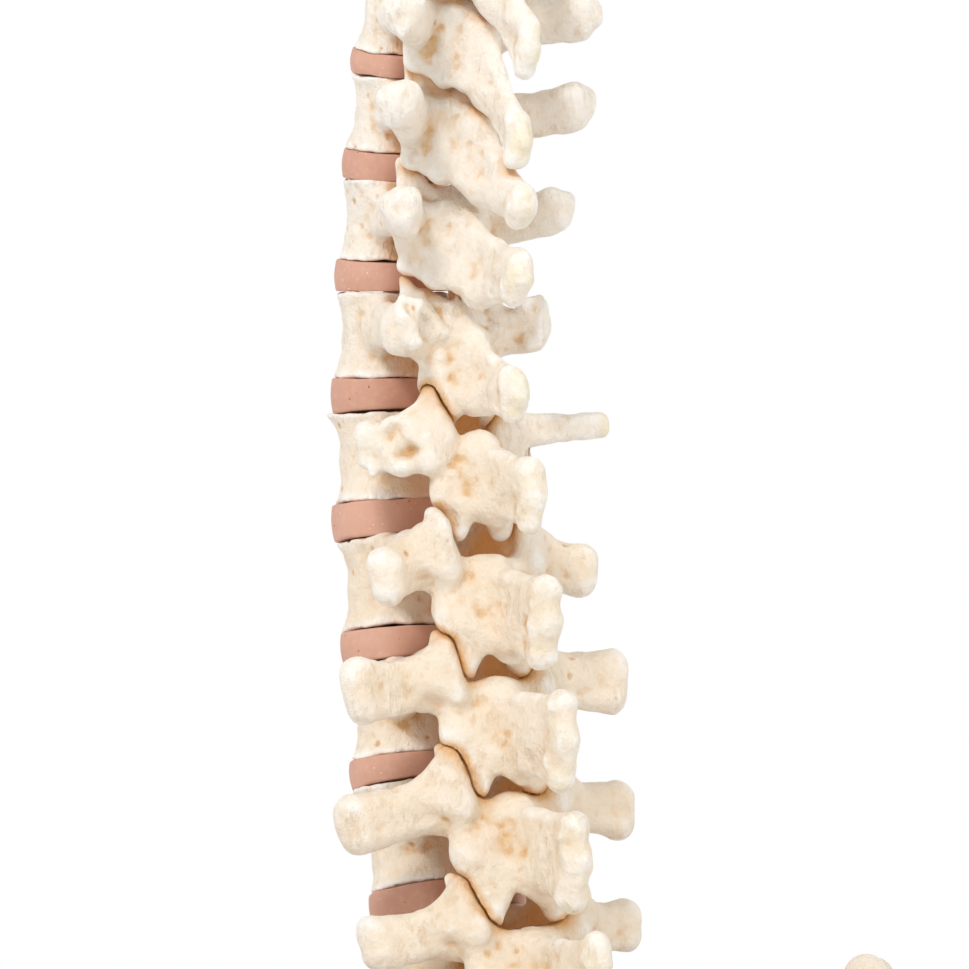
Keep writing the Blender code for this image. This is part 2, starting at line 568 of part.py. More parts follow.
def add_block(name, low, high, matrix, cutters):
    """A block, in hiding, that trims a bone flat.  Its corners are low and high, in millimetres."""
    shape = bmesh.new()
    low, high = Vector(low) * MM, Vector(high) * MM
    place = Matrix.Translation((low + high) / 2.0) @ Matrix.Diagonal((*(high - low), 1.0))
    bmesh.ops.create_cube(shape, size=1.0, matrix=place)
    block = add_object(name, shape, matrix, None, cutters)
    block.hide_render = True
    block.display_type = "WIRE"
    return block


def make_coccyx(group, cutters):
    shape = bmesh.new()
    beads = [(0, 32.5, -89, 5.6), (0, 31.0, -95, 5.0), (0, 27, -102, 4.4), (0, 21, -108, 3.6),
             (0, 16, -111, 3.0)]
    for lower, upper in zip(beads[1:], beads[:-1]):
        add_hull(shape, [lower, upper], Vector((0, 0, 0)))
    add_pair(shape, [(3, 32, -93, 4.2), (8, 33, -92, 2.6)], Vector((0, 0, 0)))
    item = add_object("coccyx", shape, pelvis_matrix(), bone_material("bone_coccyx"), group)
    fuse(item, 160)
    top = SACRUM_END - JOINT_GAP
    cut(item, add_block("trim_coccyx", (-30, 0, top), (30, 60, -40), pelvis_matrix(), cutters))
    return item


def hip_shape():
    """Plates and bars of the left hip bone: wing, socket, sitting bone and pubic bone."""
    return [
        # wing, from the socket's roof to the crest
        [(78, -22, -62, 8), (118, -60, -10, 4.5), (127, -34, 22, 4.5)],
        [(78, -18, -58, 8), (127, -34, 22, 4.5), (118, -2, 42, 4.5)],
        [(74, -8, -50, 8), (118, -2, 42, 4.5), (96, 24, 44, 4.5)],
        [(70, 2, -46, 8), (96, 24, 44, 4.5), (70, 44, 26, 5)],
        [(64, 10, -44, 8), (70, 44, 26, 5), (52, 56, -4, 6)],
        [(64, 10, -44, 8), (52, 56, -4, 6), (50, 50, -30, 6)],
        [(66, 2, -56, 9), (52, 46, -32, 6), (62, 20, -52, 7)],
        [(118, -60, -10, 4.5), (108, -62, -26, 5), (88, -42, -62, 8)],
        [(48, 10, -14, 6), (48, 40, -18, 8), (46, 30, -42, 6), (62, 20, -40, 8), (64, 24, -10, 5)],
        [(84, -30, -50, 8), (74, -4, -52, 10), (62, 12, -46, 8), (90, -38, -20, 5), (100, -36, -8, 5)],
        # socket and its rim
        [(88, -30, -72, 16), (82, -26, -84, 18), (90, -32, -90, 14)],
        # sitting bone
        [(74, -14, -92, 11), (64, 4, -118, 10), (60, 4, -132, 10)],
        [(66, 6, -90, 7), (54, 18, -88, 4)],
        [(60, 0, -136, 9), (34, -42, -134, 5.5)],
        # pubic bone
        [(76, -42, -80, 9), (30, -82, -82, 6)],
        [(30, -82, -82, 6), (6, -86, -86, 6.5), (6, -84, -102, 6)],
        [(6, -84, -102, 6), (14, -72, -118, 5.5), (34, -42, -134, 5.5)],
    ]


def make_hip(name, mirror, group, cutters):
    """Hip bone of one side, trimmed flat where it meets the sacrum and the pubic pad."""
    shape = bmesh.new()
    for balls in hip_shape():
        add_hull(shape, [(mirror * x, y, z, radius) for x, y, z, radius in balls], Vector((0, 0, 0)))
    item = add_object(name, shape, pelvis_matrix(), bone_material("bone_" + name), group)
    fuse(item, 620)
    near, far = sorted((mirror * (SACROILIAC_PLANE + JOINT_GAP), 0.0))
    cut(item, add_block("trim_" + name, (near, -50, -60), (far, 90, 60), pelvis_matrix(), cutters))
    near, far = sorted((mirror * (SYMPHYSIS_HALF + JOINT_GAP), -mirror * 20.0))
    cut(item, add_block("trim_pubis_" + name, (near, -110, -140), (far, -60, -60), pelvis_matrix(), cutters))
    return item


def make_symphysis(group):
    """The soft oval pad between the two pubic bones."""
    shape = bmesh.new()
    place = Matrix.Translation(Vector((0, -85.5, -93)) * MM) @ lean(-10).to_4x4()
    place = place @ Matrix.Rotation(pi / 2.0, 4, "Y") @ Matrix.Diagonal((15.0, 6.5, 1.0, 1.0))
    bmesh.ops.create_cone(shape, cap_ends=True, segments=OUTLINE_SIDES, radius1=MM, radius2=MM,
                          depth=2.0 * SYMPHYSIS_HALF * MM, matrix=place)
    return add_object("pubic_symphysis", shape, pelvis_matrix(), disc_material("symphysis_rubber"), group)


def screw_matrix(side):
    """Frame of a sacroiliac screw: its +Z points from the sacrum out through the hip bone."""
    axis = Matrix.Rotation(side * pi / 2.0, 4, "Y")
    return pelvis_matrix() @ Matrix.Translation(Vector((side * SACROILIAC_PLANE, 24, -28)) * MM) @ axis


def make_screw(name, side, group):
    """Pan-head screw that holds a hip bone to the sacrum."""
    shape = bmesh.new()
    length = SCREW_SEAT + SCREW_DEPTH + SCREW_HEAD_LENGTH / 2.0
    middle = length / 2.0 - SCREW_DEPTH
    radius = SCREW_RADIUS * MM
    bmesh.ops.create_cone(shape, cap_ends=True, segments=12, radius1=radius, radius2=radius,
                          depth=length * MM, matrix=Matrix.Translation((0, 0, middle * MM)))
    item = add_object(name, shape, screw_matrix(side), metal_material(name + "_steel"), group)
    head = bmesh.new()
    rise = SCREW_SEAT + SCREW_HEAD_LENGTH / 2.0
    bmesh.ops.create_cone(head, cap_ends=True, segments=16, radius1=SCREW_HEAD_RADIUS * MM,
                          radius2=SCREW_HEAD_RADIUS * 0.7 * MM, depth=SCREW_HEAD_LENGTH * MM,
                          matrix=Matrix.Translation((0, 0, rise * MM)))
    add_to(item, head)
    return item


def add_to(item, shape):
    """Join another closed shape to an object with an exact union."""
    tool = add_object(item.name + "_tool", shape, item.matrix_world, None, bpy.context.scene.collection)
    union = item.modifiers.new("join", "BOOLEAN")
    union.operation = "UNION"
    union.solver = "EXACT"
    union.object = tool
    bpy.context.view_layer.update()
    evaluated = item.evaluated_get(bpy.context.evaluated_depsgraph_get())
    mesh = bpy.data.meshes.new_from_object(evaluated)
    item.modifiers.remove(union)
    item.data = mesh
    bpy.data.objects.remove(tool, do_unlink=True)


def make_pelvis(group, cutters):
    sacrum = make_sacrum(group, cutters)
    pieces = [sacrum]
    for name, side in (("left", 1), ("right", -1)):
        hip = make_hip("hip_" + name, side, group, cutters)
        place = screw_matrix(side)
        middle = Matrix.Translation((0, 0, (SCREW_SEAT - SCREW_DEPTH) / 2.0 * MM))
        hole = add_cutter("screw_hole_" + name, SCREW_RADIUS + JOINT_GAP, SCREW_SEAT + SCREW_DEPTH + 2.0,
                          place @ middle, cutters, 12)
        middle = Matrix.Translation((0, 0, (SCREW_SEAT + SEAT_DEPTH / 2.0 - JOINT_GAP) * MM))
        seat = add_cutter("screw_seat_" + name, SCREW_HEAD_RADIUS + SEAT_MARGIN, SEAT_DEPTH,
                          place @ middle, cutters, 16)
        cut(sacrum, hole)
        cut(hip, hole)
        cut(hip, seat)
        pieces += [hip, make_screw("sacroiliac_screw_" + name, side, group)]
    return pieces


# ---- core and fittings --------------------------------------------------------------------------------

def core_path(levels):
    """Points along the middle of the column, from inside the sacrum to inside the axis."""
    slope = SACRAL_SLOPE + PELVIC_TILT
    points = [SACRUM_TOP - lean(slope) @ Vector((0, 0, depth)) for depth in (CORE_DEPTH_IN_SACRUM, 12.0, 0.0)]
    for level in levels:
        points += [level["disc"], level["centre"]]
    return points


def make_core(levels, group):
    """The flexible core that threads every vertebra and disc."""
    curve = bpy.data.curves.new("core_path", "CURVE")
    curve.dimensions = "3D"
    curve.bevel_depth = CORE_RADIUS * MM
    curve.bevel_resolution = 2
    curve.use_fill_caps = True
    points = core_path(levels)
    spline = curve.splines.new("POLY")
    spline.points.add(len(points) - 1)
    for slot, point in zip(spline.points, points):
        slot.co = (*(point * MM), 1.0)
    source = bpy.data.objects.new("core_path", curve)
    group.objects.link(source)
    bpy.context.view_layer.update()
    evaluated = source.evaluated_get(bpy.context.evaluated_depsgraph_get())
    mesh = bpy.data.meshes.new_from_object(evaluated)
    bpy.data.objects.remove(source, do_unlink=True)
    shape = bmesh.new()
    shape.from_mesh(mesh)
    bmesh.ops.remove_doubles(shape, verts=shape.verts[:], dist=0.00001)
    bmesh.ops.recalc_face_normals(shape, faces=shape.faces[:])
    item = add_object("flexible_core", shape, Matrix.Identity(4), metal_material("core_steel"), group)
    bpy.data.meshes.remove(mesh)
    return item


def make_washer(axis_level, group, cutters):
    """Thin washer on top of the dens."""
    place = top_of_dens(axis_level)
    shape = bmesh.new()
    bmesh.ops.create_cone(shape, cap_ends=True, segments=24, radius1=WASHER_RADIUS * MM,
                          radius2=WASHER_RADIUS * MM, depth=WASHER_HEIGHT * MM,
                          matrix=Matrix.Translation((0, 0, (JOINT_GAP + WASHER_HEIGHT / 2.0) * MM)))
    item = add_object("core_washer", shape, place, metal_material("washer_steel"), group)
    cut(item, add_cutter("bore_washer", EYE_WIRE + JOINT_GAP, 8.0, place, cutters, 12))
    return item


def top_of_dens(axis_level):
    tilt = axis_level["bone"].tilt
    return frame(axis_level["centre"] + lean(tilt) @ Vector((0, DENS_BACK, DENS_TOP)), tilt)


def make_hanging_eye(axis_level, group):
    """Screw eye whose shank runs down through the washer and the dens."""
    place = top_of_dens(axis_level)
    shape = bmesh.new()
    seat = WASHER_HEIGHT + 2.0 * JOINT_GAP
    bottom = -EYE_SHANK_DEPTH
    top = seat + EYE_RISE - EYE_RADIUS
    middle = Matrix.Translation((0, 0, (top + bottom) / 2.0 * MM))
    bmesh.ops.create_cone(shape, cap_ends=True, segments=12, radius1=EYE_WIRE * MM, radius2=EYE_WIRE * MM,
                          depth=(top - bottom) * MM, matrix=middle)
    item = add_object("hanging_eye", shape, place, metal_material("eye_steel"), group)
    collar = bmesh.new()
    bmesh.ops.create_cone(collar, cap_ends=True, segments=16, radius1=COLLAR_RADIUS * MM,
                          radius2=COLLAR_RADIUS * 0.7 * MM, depth=3.0 * MM,
                          matrix=Matrix.Translation((0, 0, (seat + 1.5) * MM)))
    add_to(item, collar)
    bpy.ops.mesh.primitive_torus_add(major_segments=20, minor_segments=8, major_radius=EYE_RADIUS * MM,
                                     minor_radius=EYE_WIRE * MM, rotation=(pi / 2.0, 0, 0))
    torus = bpy.context.object
    ring = bmesh.new()
    ring.from_mesh(torus.data)
    ring.transform(Matrix.Translation((0, 0, (seat + EYE_RISE) * MM)) @ Matrix.Rotation(pi / 2.0, 4, "X"))
    bpy.data.objects.remove(torus, do_unlink=True)
    add_to(item, ring)
    return item


def make_spigot(group):
    """Round steel spigot under the sacrum, which a stand holds."""
    shape = bmesh.new()
    place = Matrix.Translation((0, 0, SPIGOT_LENGTH / 2.0 * MM))
    length = SPIGOT_LENGTH * MM
    bmesh.ops.create_cone(shape, cap_ends=True, segments=24, radius1=SPIGOT_RADIUS * MM,
                          radius2=SPIGOT_RADIUS * MM, depth=length, matrix=place)
    return add_object("stand_spigot", shape, Matrix.Identity(4), metal_material("spigot_steel"), group)


def shade_round(item):
    item.data.shade_smooth()
    item.data.set_sharp_from_angle(angle=radians(35))


def main():
    remove_scene_objects()
    group = new_collection("flexible_spine_with_pelvis")
    cutters = new_collection("cutters")
    levels = stack()
    pieces = []
    for level in levels:
        pieces.append(make_vertebra(level, group, cutters))
        pieces.append(make_disc(level, group, cutters))
    pieces.append(make_atlas(levels[-1], group))
    pieces += make_pelvis(group, cutters)
    pieces += [make_coccyx(group, cutters), make_symphysis(group)]
    pieces.append(make_core(levels, group))
    pieces.append(make_washer(levels[-1], group, cutters))
    pieces.append(make_hanging_eye(levels[-1], group))
    pieces.append(make_spigot(group))
    for item in pieces:
        shade_round(item)


main()
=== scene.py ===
"""Looks of the flexible vertebral column with pelvis.

Every bone is a field of distances, built from bars, plates and drums that flow into each other, and turned
into a fine skin.  Lengths inside the fields are millimetres; everything in the scene is in metres.
"""
from collections import namedtuple
from math import cos, pi, radians, sin

import bmesh
import bpy
import numpy as np
import openvdb
from mathutils import Euler, Matrix, Vector


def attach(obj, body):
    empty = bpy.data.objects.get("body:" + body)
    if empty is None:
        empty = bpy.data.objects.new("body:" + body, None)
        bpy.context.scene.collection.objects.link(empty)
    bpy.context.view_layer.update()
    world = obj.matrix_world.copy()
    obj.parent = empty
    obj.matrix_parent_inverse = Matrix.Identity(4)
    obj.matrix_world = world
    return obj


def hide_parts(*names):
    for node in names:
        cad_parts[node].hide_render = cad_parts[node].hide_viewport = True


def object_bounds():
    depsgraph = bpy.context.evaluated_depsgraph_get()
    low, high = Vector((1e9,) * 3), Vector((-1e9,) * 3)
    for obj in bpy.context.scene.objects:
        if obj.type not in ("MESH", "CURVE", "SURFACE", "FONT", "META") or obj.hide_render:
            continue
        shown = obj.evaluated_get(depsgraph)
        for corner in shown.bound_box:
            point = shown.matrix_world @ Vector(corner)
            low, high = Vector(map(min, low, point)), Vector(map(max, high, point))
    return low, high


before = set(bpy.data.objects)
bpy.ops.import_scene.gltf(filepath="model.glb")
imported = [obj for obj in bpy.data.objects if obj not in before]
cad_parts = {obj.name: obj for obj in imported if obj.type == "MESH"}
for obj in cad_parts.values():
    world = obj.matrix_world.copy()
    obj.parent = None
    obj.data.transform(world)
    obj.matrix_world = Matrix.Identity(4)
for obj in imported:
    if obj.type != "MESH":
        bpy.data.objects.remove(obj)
CAD_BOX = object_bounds()

MM = 0.001
PELVIC_TILT = 8.0
SACRAL_SLOPE = 40.0
SACRUM_TOP = Vector((0.0, -11.0, 56.0))
FAR = 9.0                      # distance given to cells that no shape reaches
FINE = 0.5                     # cell of the bones that the camera sees close up
MEDIUM = 0.8
COARSE = 1.1
BORE = 3.9
JOINT_LINE = 0.0               # kept between the joint processes of neighbours, on top of their drawn-in skins
SMALL_HOLLOW = 1.2             # reach of the two measures of how hollow a place is
WIDE_HOLLOW = 4.0
SKIN = 0.3                     # how far every skin is drawn in, so that it stays inside the frame's box
SPLINE_LOSS = 2.6              # makes up for what the splines take from the height of random noise
VERTEBRA_NOISE = ((11.0, 0.38), (5.0, 0.22), (2.6, 0.24), (1.3, 0.12))
OWN_SEAM = 1.6                 # how far from the bone below the wash of a seam reaches
SHADE_UNDER_ABOVE = 4.6               # the same for the painted shade under the bone above, which fades over this reach
STUB = (-43.0, 35.5, 4.0)      # tip of the long stub on the right of T12
STUB_REACH = 46.0

# process: tip of the transverse process (x, y, z, r).  top, bottom: ends (y, z) of the rear edge of the
# spinous process, thick: its radius.  arch: how far behind the middle of the body the joint processes are.
Bone = namedtuple("Bone", "name kind tilt width depth height disc process top bottom thick arch cell")
BONES = [
    Bone("L5", "lumbar", 33.0, 50, 34, 26.5, 9.5, (40, 19, 6, 5.5), (56, -8), (54, -16), 3.6, 29, MEDIUM),
    Bone("L4", "lumbar", 24.0, 47, 34, 27.5, 9.5, (39.5, 22, 2, 5.0), (63, -15), (58, -23), 3.8, 30, FINE),
    Bone("L3", "lumbar", 17.0, 45, 33, 28.5, 8.6, (41.5, 26, -1, 5.4), (66, -12), (59, -30), 4.0, 34, FINE),
    Bone("L2", "lumbar", 11.0, 43, 32, 25.6, 7.5, (40.0, 34, 1, 5.0), (69, -8), (64, -27), 4.0, 36, FINE),
    Bone("L1", "lumbar", 9.0, 41, 31, 24.7, 8.3, (31.0, 38, -2, 5.0), (67, -9), (62, -26), 4.2, 37, FINE),
    Bone("T12", "transition", 7.0, 39, 30, 24.3, 9.5, (23.5, 22, 2, 3.4), (64, -10), (62, -23), 3.8, 34, FINE),
    Bone("T11", "transition", 0.0, 35, 29, 23.3, 9.0, (22.5, 37, 3, 3.4), (59.5, -11), (58, -20), 3.2, 32, FINE),
    Bone("T10", "thoracic", -4.0, 32, 28, 21.8, 8.0, (25.0, 41, 5, 5.0), (61, -7), (59, -16), 3.4, 26, FINE),
    Bone("T9", "thoracic", -7.5, 31, 27, 20.5, 7.5, (28.5, 42, 6.5, 5.6), (62, -15), (60.5, -21), 2.9, 26, FINE),
    Bone("T8", "thoracic", -9.5, 30, 26, 20.0, 6.0, (28.5, 41, 5.5, 5.6), (57, -20), (58.3, -29.5), 2.6, 25, FINE),
    Bone("T7", "thoracic", -10.0, 29, 25, 19.5, 5.0, (29.5, 39, 5, 5.4), (59, -20), (58, -31), 2.6, 24, FINE),
    Bone("T6", "thoracic", -8.0, 28, 24, 19.0, 5.0, (30.0, 37, 5, 5.0), (56, -21), (55, -31), 2.6, 23, MEDIUM),
    Bone("T5", "thoracic", -5.0, 27, 23, 18.5, 4.5, (30.5, 34, 5, 4.8), (53, -21), (52, -30), 2.8, 23, MEDIUM),
    Bone("T4", "thoracic", -1.0, 26, 22, 18.0, 4.5, (31.0, 31, 5, 4.8), (51, -19), (50, -27), 2.8, 22, MEDIUM),
    Bone("T3", "thoracic", 4.0, 27, 20, 17.5, 4.0, (31.5, 28, 4, 4.8), (49, -15), (48, -22), 2.8, 21, MEDIUM),
    Bone("T2", "thoracic", 9.0, 28, 19, 17.0, 4.0, (33.0, 24, 4, 4.8), (48, -11), (47, -18), 2.8, 20, MEDIUM),
    Bone("T1", "thoracic", 13.0, 29, 18, 16.5, 4.5, (36.0, 18, 4, 4.6), (49, -6), (48, -12), 2.8, 19, MEDIUM),
    Bone("C7", "cervical", 14.0, 27, 17, 14.5, 5.0, (31.0, 8, 1, 3.4), (47, -4), (47, -8), 3.2, 17, MEDIUM),
    Bone("C6", "cervical", 11.0, 25, 16, 13.0, 5.0, (27.5, 5, -1, 3.0), (39, -4), (39, -8), 2.8, 16, MEDIUM),
    Bone("C5", "cervical", 7.0, 24, 16, 12.5, 5.0, (26.0, 4, -1, 3.0), (33, -4), (33, -8), 2.6, 16, MEDIUM),
    Bone("C4", "cervical", 2.0, 23, 15.5, 12.5, 5.0, (25.5, 4, -1, 3.0), (31, -4), (31, -8), 2.6, 15, MEDIUM),
    Bone("C3", "cervical", -2.0, 22, 15, 12.5, 5.0, (25.0, 4, -1, 3.0), (30, -3), (30, -7), 2.6, 15, MEDIUM),
    Bone("C2", "axis", -5.0, 21, 15, 17.0, 4.5, (26.0, 4, -1, 3.2), (32, -3), (32, -9), 3.6, 15, MEDIUM),
]
ATLAS_RISE = 14.4
DENS_TOP = 25.5
DENS_BACK = -0.5


# ---- frames -------------------------------------------------------------------------------------------

def lean(degrees):
    return Euler((radians(degrees), 0.0, 0.0)).to_matrix()


def place(origin, degrees):
    """Matrix in metres of a frame whose origin is in millimetres and whose axis leans to the front."""
    return Matrix.Translation(Vector(origin) * MM) @ lean(degrees).to_4x4()


def stack():
    """Centre and tilt of every bone and disc, followed up from the sacrum."""
    levels = []
    top = SACRUM_TOP.copy()
    lower_tilt = SACRAL_SLOPE + PELVIC_TILT
    below, below_body = None, "pelvis"
    for bone in BONES:
        middle = (lower_tilt + bone.tilt) / 2.0
        disc = top + lean(middle) @ Vector((0, 0, bone.disc / 2.0))
        base = top + lean(middle) @ Vector((0, 0, bone.disc))
        axis = lean(bone.tilt) @ Vector((0, 0, 1))
        label = bone.name + "_" + (below.name if below else "S1")
        levels.append({"bone": bone, "below": below, "lower_tilt": lower_tilt, "disc": disc, "middle": middle,
                       "centre": base + axis * bone.height / 2.0, "label": label, "below_body": below_body})
        top = base + axis * bone.height
        lower_tilt = bone.tilt
        below, below_body = bone, "vertebra_" + bone.name
    return levels


# ---- distance fields ----------------------------------------------------------------------------------

def spline_weights(count, step, wavelength):
    """Cubic weights that spread a coarse row of values over a fine one."""
    position = step * np.arange(count) / wavelength
    base = np.floor(position).astype(int)
    t = position - base
    width = base.max() + 4
    weights = np.zeros((count, width), np.float32)
    rows = np.arange(count)
    parts = ((1 - t) ** 3, 3 * t ** 3 - 6 * t ** 2 + 4, -3 * t ** 3 + 3 * t ** 2 + 3 * t + 1, t ** 3)
    for shift, part in enumerate(parts):
        weights[rows, base + shift] = part / 6.0
    return weights


def bar_distance(x, y, z, a, b):
    ab = b[:3] - a[:3]
    span = max(float(ab @ ab), 1e-9)
    px, py, pz = x - a[0], y - a[1], z - a[2]
    t = np.clip((px * ab[0] + py * ab[1] + pz * ab[2]) / span, 0, 1)
    away = np.sqrt((px - t * ab[0]) ** 2 + (py - t * ab[1]) ** 2 + (pz - t * ab[2]) ** 2)
    return away - (a[3] + t * (b[3] - a[3]))


class Field:
    """Signed distances on a grid, in millimetres: negative inside the bone."""

    def __init__(self, low, high, cell, seed):
        self.cell = cell * 1.0
        self.low = np.array(low, float)
        size = np.ceil((np.array(high) - self.low) / self.cell).astype(int) + 1
        self.axes = [(self.low[i] + self.cell * np.arange(size[i])).astype(np.float32) for i in range(3)]
        self.value = np.full(size, FAR, np.float32)
        self.near = np.full(size, FAR, np.float32)
        self.random = np.random.RandomState(seed)

    def window(self, low, high, margin):
        """Slices of the grid round a box, and the coordinates in them."""
        cuts = []
        for i in range(3):
            first = int(np.searchsorted(self.axes[i], low[i] - margin))
            last = int(np.searchsorted(self.axes[i], high[i] + margin))
            cuts.append(slice(first, max(last, first)))
        x, y, z = (self.axes[i][cuts[i]] for i in range(3))
        return tuple(cuts), x[:, None, None], y[None, :, None], z[None, None, :]

    def grid(self):
        """Coordinates of all cells, ready to be broadcast together."""
        return self.axes[0][:, None, None], self.axes[1][None, :, None], self.axes[2][None, None, :]

    def join(self, cuts, distance, soft):
        """Smooth union with what is there."""
        old = self.value[cuts]
        near = np.maximum(soft - np.abs(old - distance), 0.0) / soft
        self.value[cuts] = np.minimum(old, distance) - near * near * soft * 0.25

    def carve(self, cuts, distance, soft):
        """Smooth difference: takes the shape away."""
        old = self.value[cuts]
        near = np.maximum(soft - np.abs(old + distance), 0.0) / soft
        self.value[cuts] = np.maximum(old, -distance) + near * near * soft * 0.25

    def bar(self, a, b, soft=3.0, carve=False):
        """Bar between two balls, each (x, y, z, radius)."""
        a, b = np.array(a, float), np.array(b, float)
        low = np.minimum(a[:3] - a[3], b[:3] - b[3])
        high = np.maximum(a[:3] + a[3], b[:3] + b[3])
        cuts, x, y, z = self.window(low, high, soft + 1.0)
        (self.carve if carve else self.join)(cuts, bar_distance(x, y, z, a, b).astype(np.float32), soft)

    def plate(self, *balls, soft=3.0):
        """Plate through balls taken as a strip of triangles, as thick as the balls."""
        for i in range(len(balls) - 2):
            self.triangle(balls[i], balls[i + 1], balls[i + 2], soft)

    def triangle(self, a, b, c, soft=3.0):
        a, b, c = (np.array(p, float) for p in (a, b, c))
        low = np.min([p[:3] - p[3] for p in (a, b, c)], axis=0)
        high = np.max([p[:3] + p[3] for p in (a, b, c)], axis=0)
        cuts, x, y, z = self.window(low, high, soft + 1.0)
        distance = np.minimum(bar_distance(x, y, z, a, b), bar_distance(x, y, z, b, c))
        distance = np.minimum(distance, bar_distance(x, y, z, c, a))
        ab, ac = b[:3] - a[:3], c[:3] - a[:3]
        normal = np.cross(ab, ac)
        area = float(normal @ normal)
        if area > 1e-6:
            px, py, pz = x - a[0], y - a[1], z - a[2]
            to_b = np.cross(ac, normal) / area
            to_c = np.cross(normal, ab) / area
            u = px * to_b[0] + py * to_b[1] + pz * to_b[2]
            v = px * to_c[0] + py * to_c[1] + pz * to_c[2]
            height = np.abs(px * normal[0] + py * normal[1] + pz * normal[2]) / area ** 0.5
            face = height - (a[3] + u * (b[3] - a[3]) + v * (c[3] - a[3]))
            inside = (u >= 0) & (v >= 0) & (u + v <= 1)
            distance = np.where(inside, np.minimum(distance, face), distance)
        self.join(cuts, distance.astype(np.float32), soft)

    def solid(self, *balls, soft=4.0):
        """Filled block through up to five balls: every triangle among them, round their middle."""
        middle = tuple(np.mean(balls, axis=0))
        for i in range(len(balls)):
            for j in range(i + 1, len(balls)):
                self.triangle(balls[i], balls[j], middle, soft)
                for k in range(j + 1, len(balls)):
                    self.triangle(balls[i], balls[j], balls[k], soft)

    def ball(self, centre, radii, soft=2.0, carve=False):
        """Ellipsoid."""
        c, r = np.array(centre, float), np.array(radii, float)
        cuts, x, y, z = self.window(c - r, c + r, soft + 1.5)
        reach = np.sqrt(((x - c[0]) / r[0]) ** 2 + ((y - c[1]) / r[1]) ** 2 + ((z - c[2]) / r[2]) ** 2)
        (self.carve if carve else self.join)(cuts, ((reach - 1.0) * r.min()).astype(np.float32), soft)

    def drum(self, width, depth, height, waist=0.14, soft=2.0, dish=0.8, tilt=0.0, centre=(0.0, 0.0, 0.0)):
        """Vertebral body: kidney outline, a waist between flared rims, hollow endplates."""
        half = np.array([width / 2, depth / 2, height / 2])
        centre = np.array(centre, float)
        reach = np.array([half[0], max(half[1], half[2]), max(half[1], half[2])]) if tilt else half
        cuts, x, y, z = self.window(centre - reach, centre + reach, soft + 1.5)
        x, y, z = x - centre[0], y - centre[1], z - centre[2]
        if tilt:
            c, s = cos(radians(tilt)), sin(radians(tilt))
            y, z = y * c + z * s, z * c - y * s
        t = np.clip(np.abs(z) / half[2], 0, 1.2)
        swell = 1.0 - waist * (1.0 - t ** 3.5)
        across = np.minimum(np.abs(x) / half[0], 1.0)
        flat = np.where(y > 0, 0.9 - 0.12 * (1.0 - across) ** 2, 1.0)
        rho = np.sqrt((x / half[0]) ** 2 + (y / (half[1] * flat)) ** 2)
        side = (rho - swell) * half[:2].min()
        lid = np.abs(z) - half[2] + dish * np.clip(1.0 - (rho / 0.82) ** 2, 0, 1)
        near = np.maximum(1.4 - np.abs(side - lid), 0.0) / 1.4
        self.join(cuts, (np.maximum(side, lid) + near * near * 0.35).astype(np.float32), soft)

    def roughen(self, *layers, scale=1.0):
        """Add smooth noise to the surface.  Each layer is (wavelength, height)."""
        for wavelength, height in layers:
            weights = [spline_weights(len(axis), self.cell, wavelength) for axis in self.axes]
            noise = self.random.uniform(-1, 1, [w.shape[1] for w in weights]).astype(np.float32)
            for axis in range(3):
                noise = np.moveaxis(np.tensordot(weights[axis], noise, (1, axis)), 0, axis)
            self.value += noise * (height * scale * SPLINE_LOSS)

    def pits(self, count, low, high, size):
        """Small round holes where random points fall close to the surface."""
        points = self.random.uniform(low, high, (count * 60, 3))
        index = np.round((points - self.low) / self.cell).astype(int)
        index = np.clip(index, 0, np.array(self.value.shape) - 1)
        near = np.abs(self.value[tuple(index.T)]) < 0.5
        for point in points[near][:count]:
            radius = size * self.random.uniform(0.5, 1.2)
            self.ball(point, (radius, radius, radius * 1.3), soft=0.5, carve=True)

    def bore(self, radius, bottom, top, y=0.0):
        cuts, gx, gy, gz = self.window((-radius, y - radius, bottom), (radius, y + radius, top), 1.5)
        across = np.sqrt(gx ** 2 + (gy - y) ** 2) - radius
        along = np.maximum(bottom - gz, gz - top)
        self.value[cuts] = np.maximum(self.value[cuts], -np.maximum(across, along))

    def cut_plane(self, point, normal, soft=0.6):
        """Remove everything on the side that the normal points to."""
        n = np.array(normal, float) / np.linalg.norm(normal)
        x, y, z = self.grid()
        side = (x - point[0]) * n[0] + (y - point[1]) * n[1] + (z - point[2]) * n[2]
        self.carve((slice(None),) * 3, -side.astype(np.float32), soft)

    def sample(self, places, source=None):
        """Field, or another array on its grid, at places (n, 3), taken between the nearest eight cells."""
        source = self.value if source is None else source
        position = (places - self.low) / self.cell
        top = np.array(source.shape) - 2
        inside = ((position >= 0) & (position <= top)).all(1)
        base = np.clip(np.floor(position).astype(int), 0, top)
        t = np.clip(position - base, 0, 1)
        total = np.zeros(len(places), np.float32)
        for corner in range(8):
            step = np.array([corner & 1, corner >> 1 & 1, corner >> 2 & 1])
            weight = np.prod(np.where(step, t, 1 - t), axis=1)
            total += (weight * source[tuple((base + step).T)]).astype(np.float32)
        return np.where(inside, total, FAR)

    def keep_clear(self, other, other_matrix, matrix, gap, front):
        """Take away whatever comes nearer than gap to another bone, behind the plane y = front."""
        x, y, z = np.meshgrid(*self.axes, indexing="ij")
        close = (self.value < 2.0) & (y > front)
        own = np.stack([x[close], y[close], z[close]], axis=1)
        distance = other.sample(moved(own, matrix, other_matrix))
        self.value[close] = np.maximum(self.value[close], gap - distance)
        self.near[close] = distance

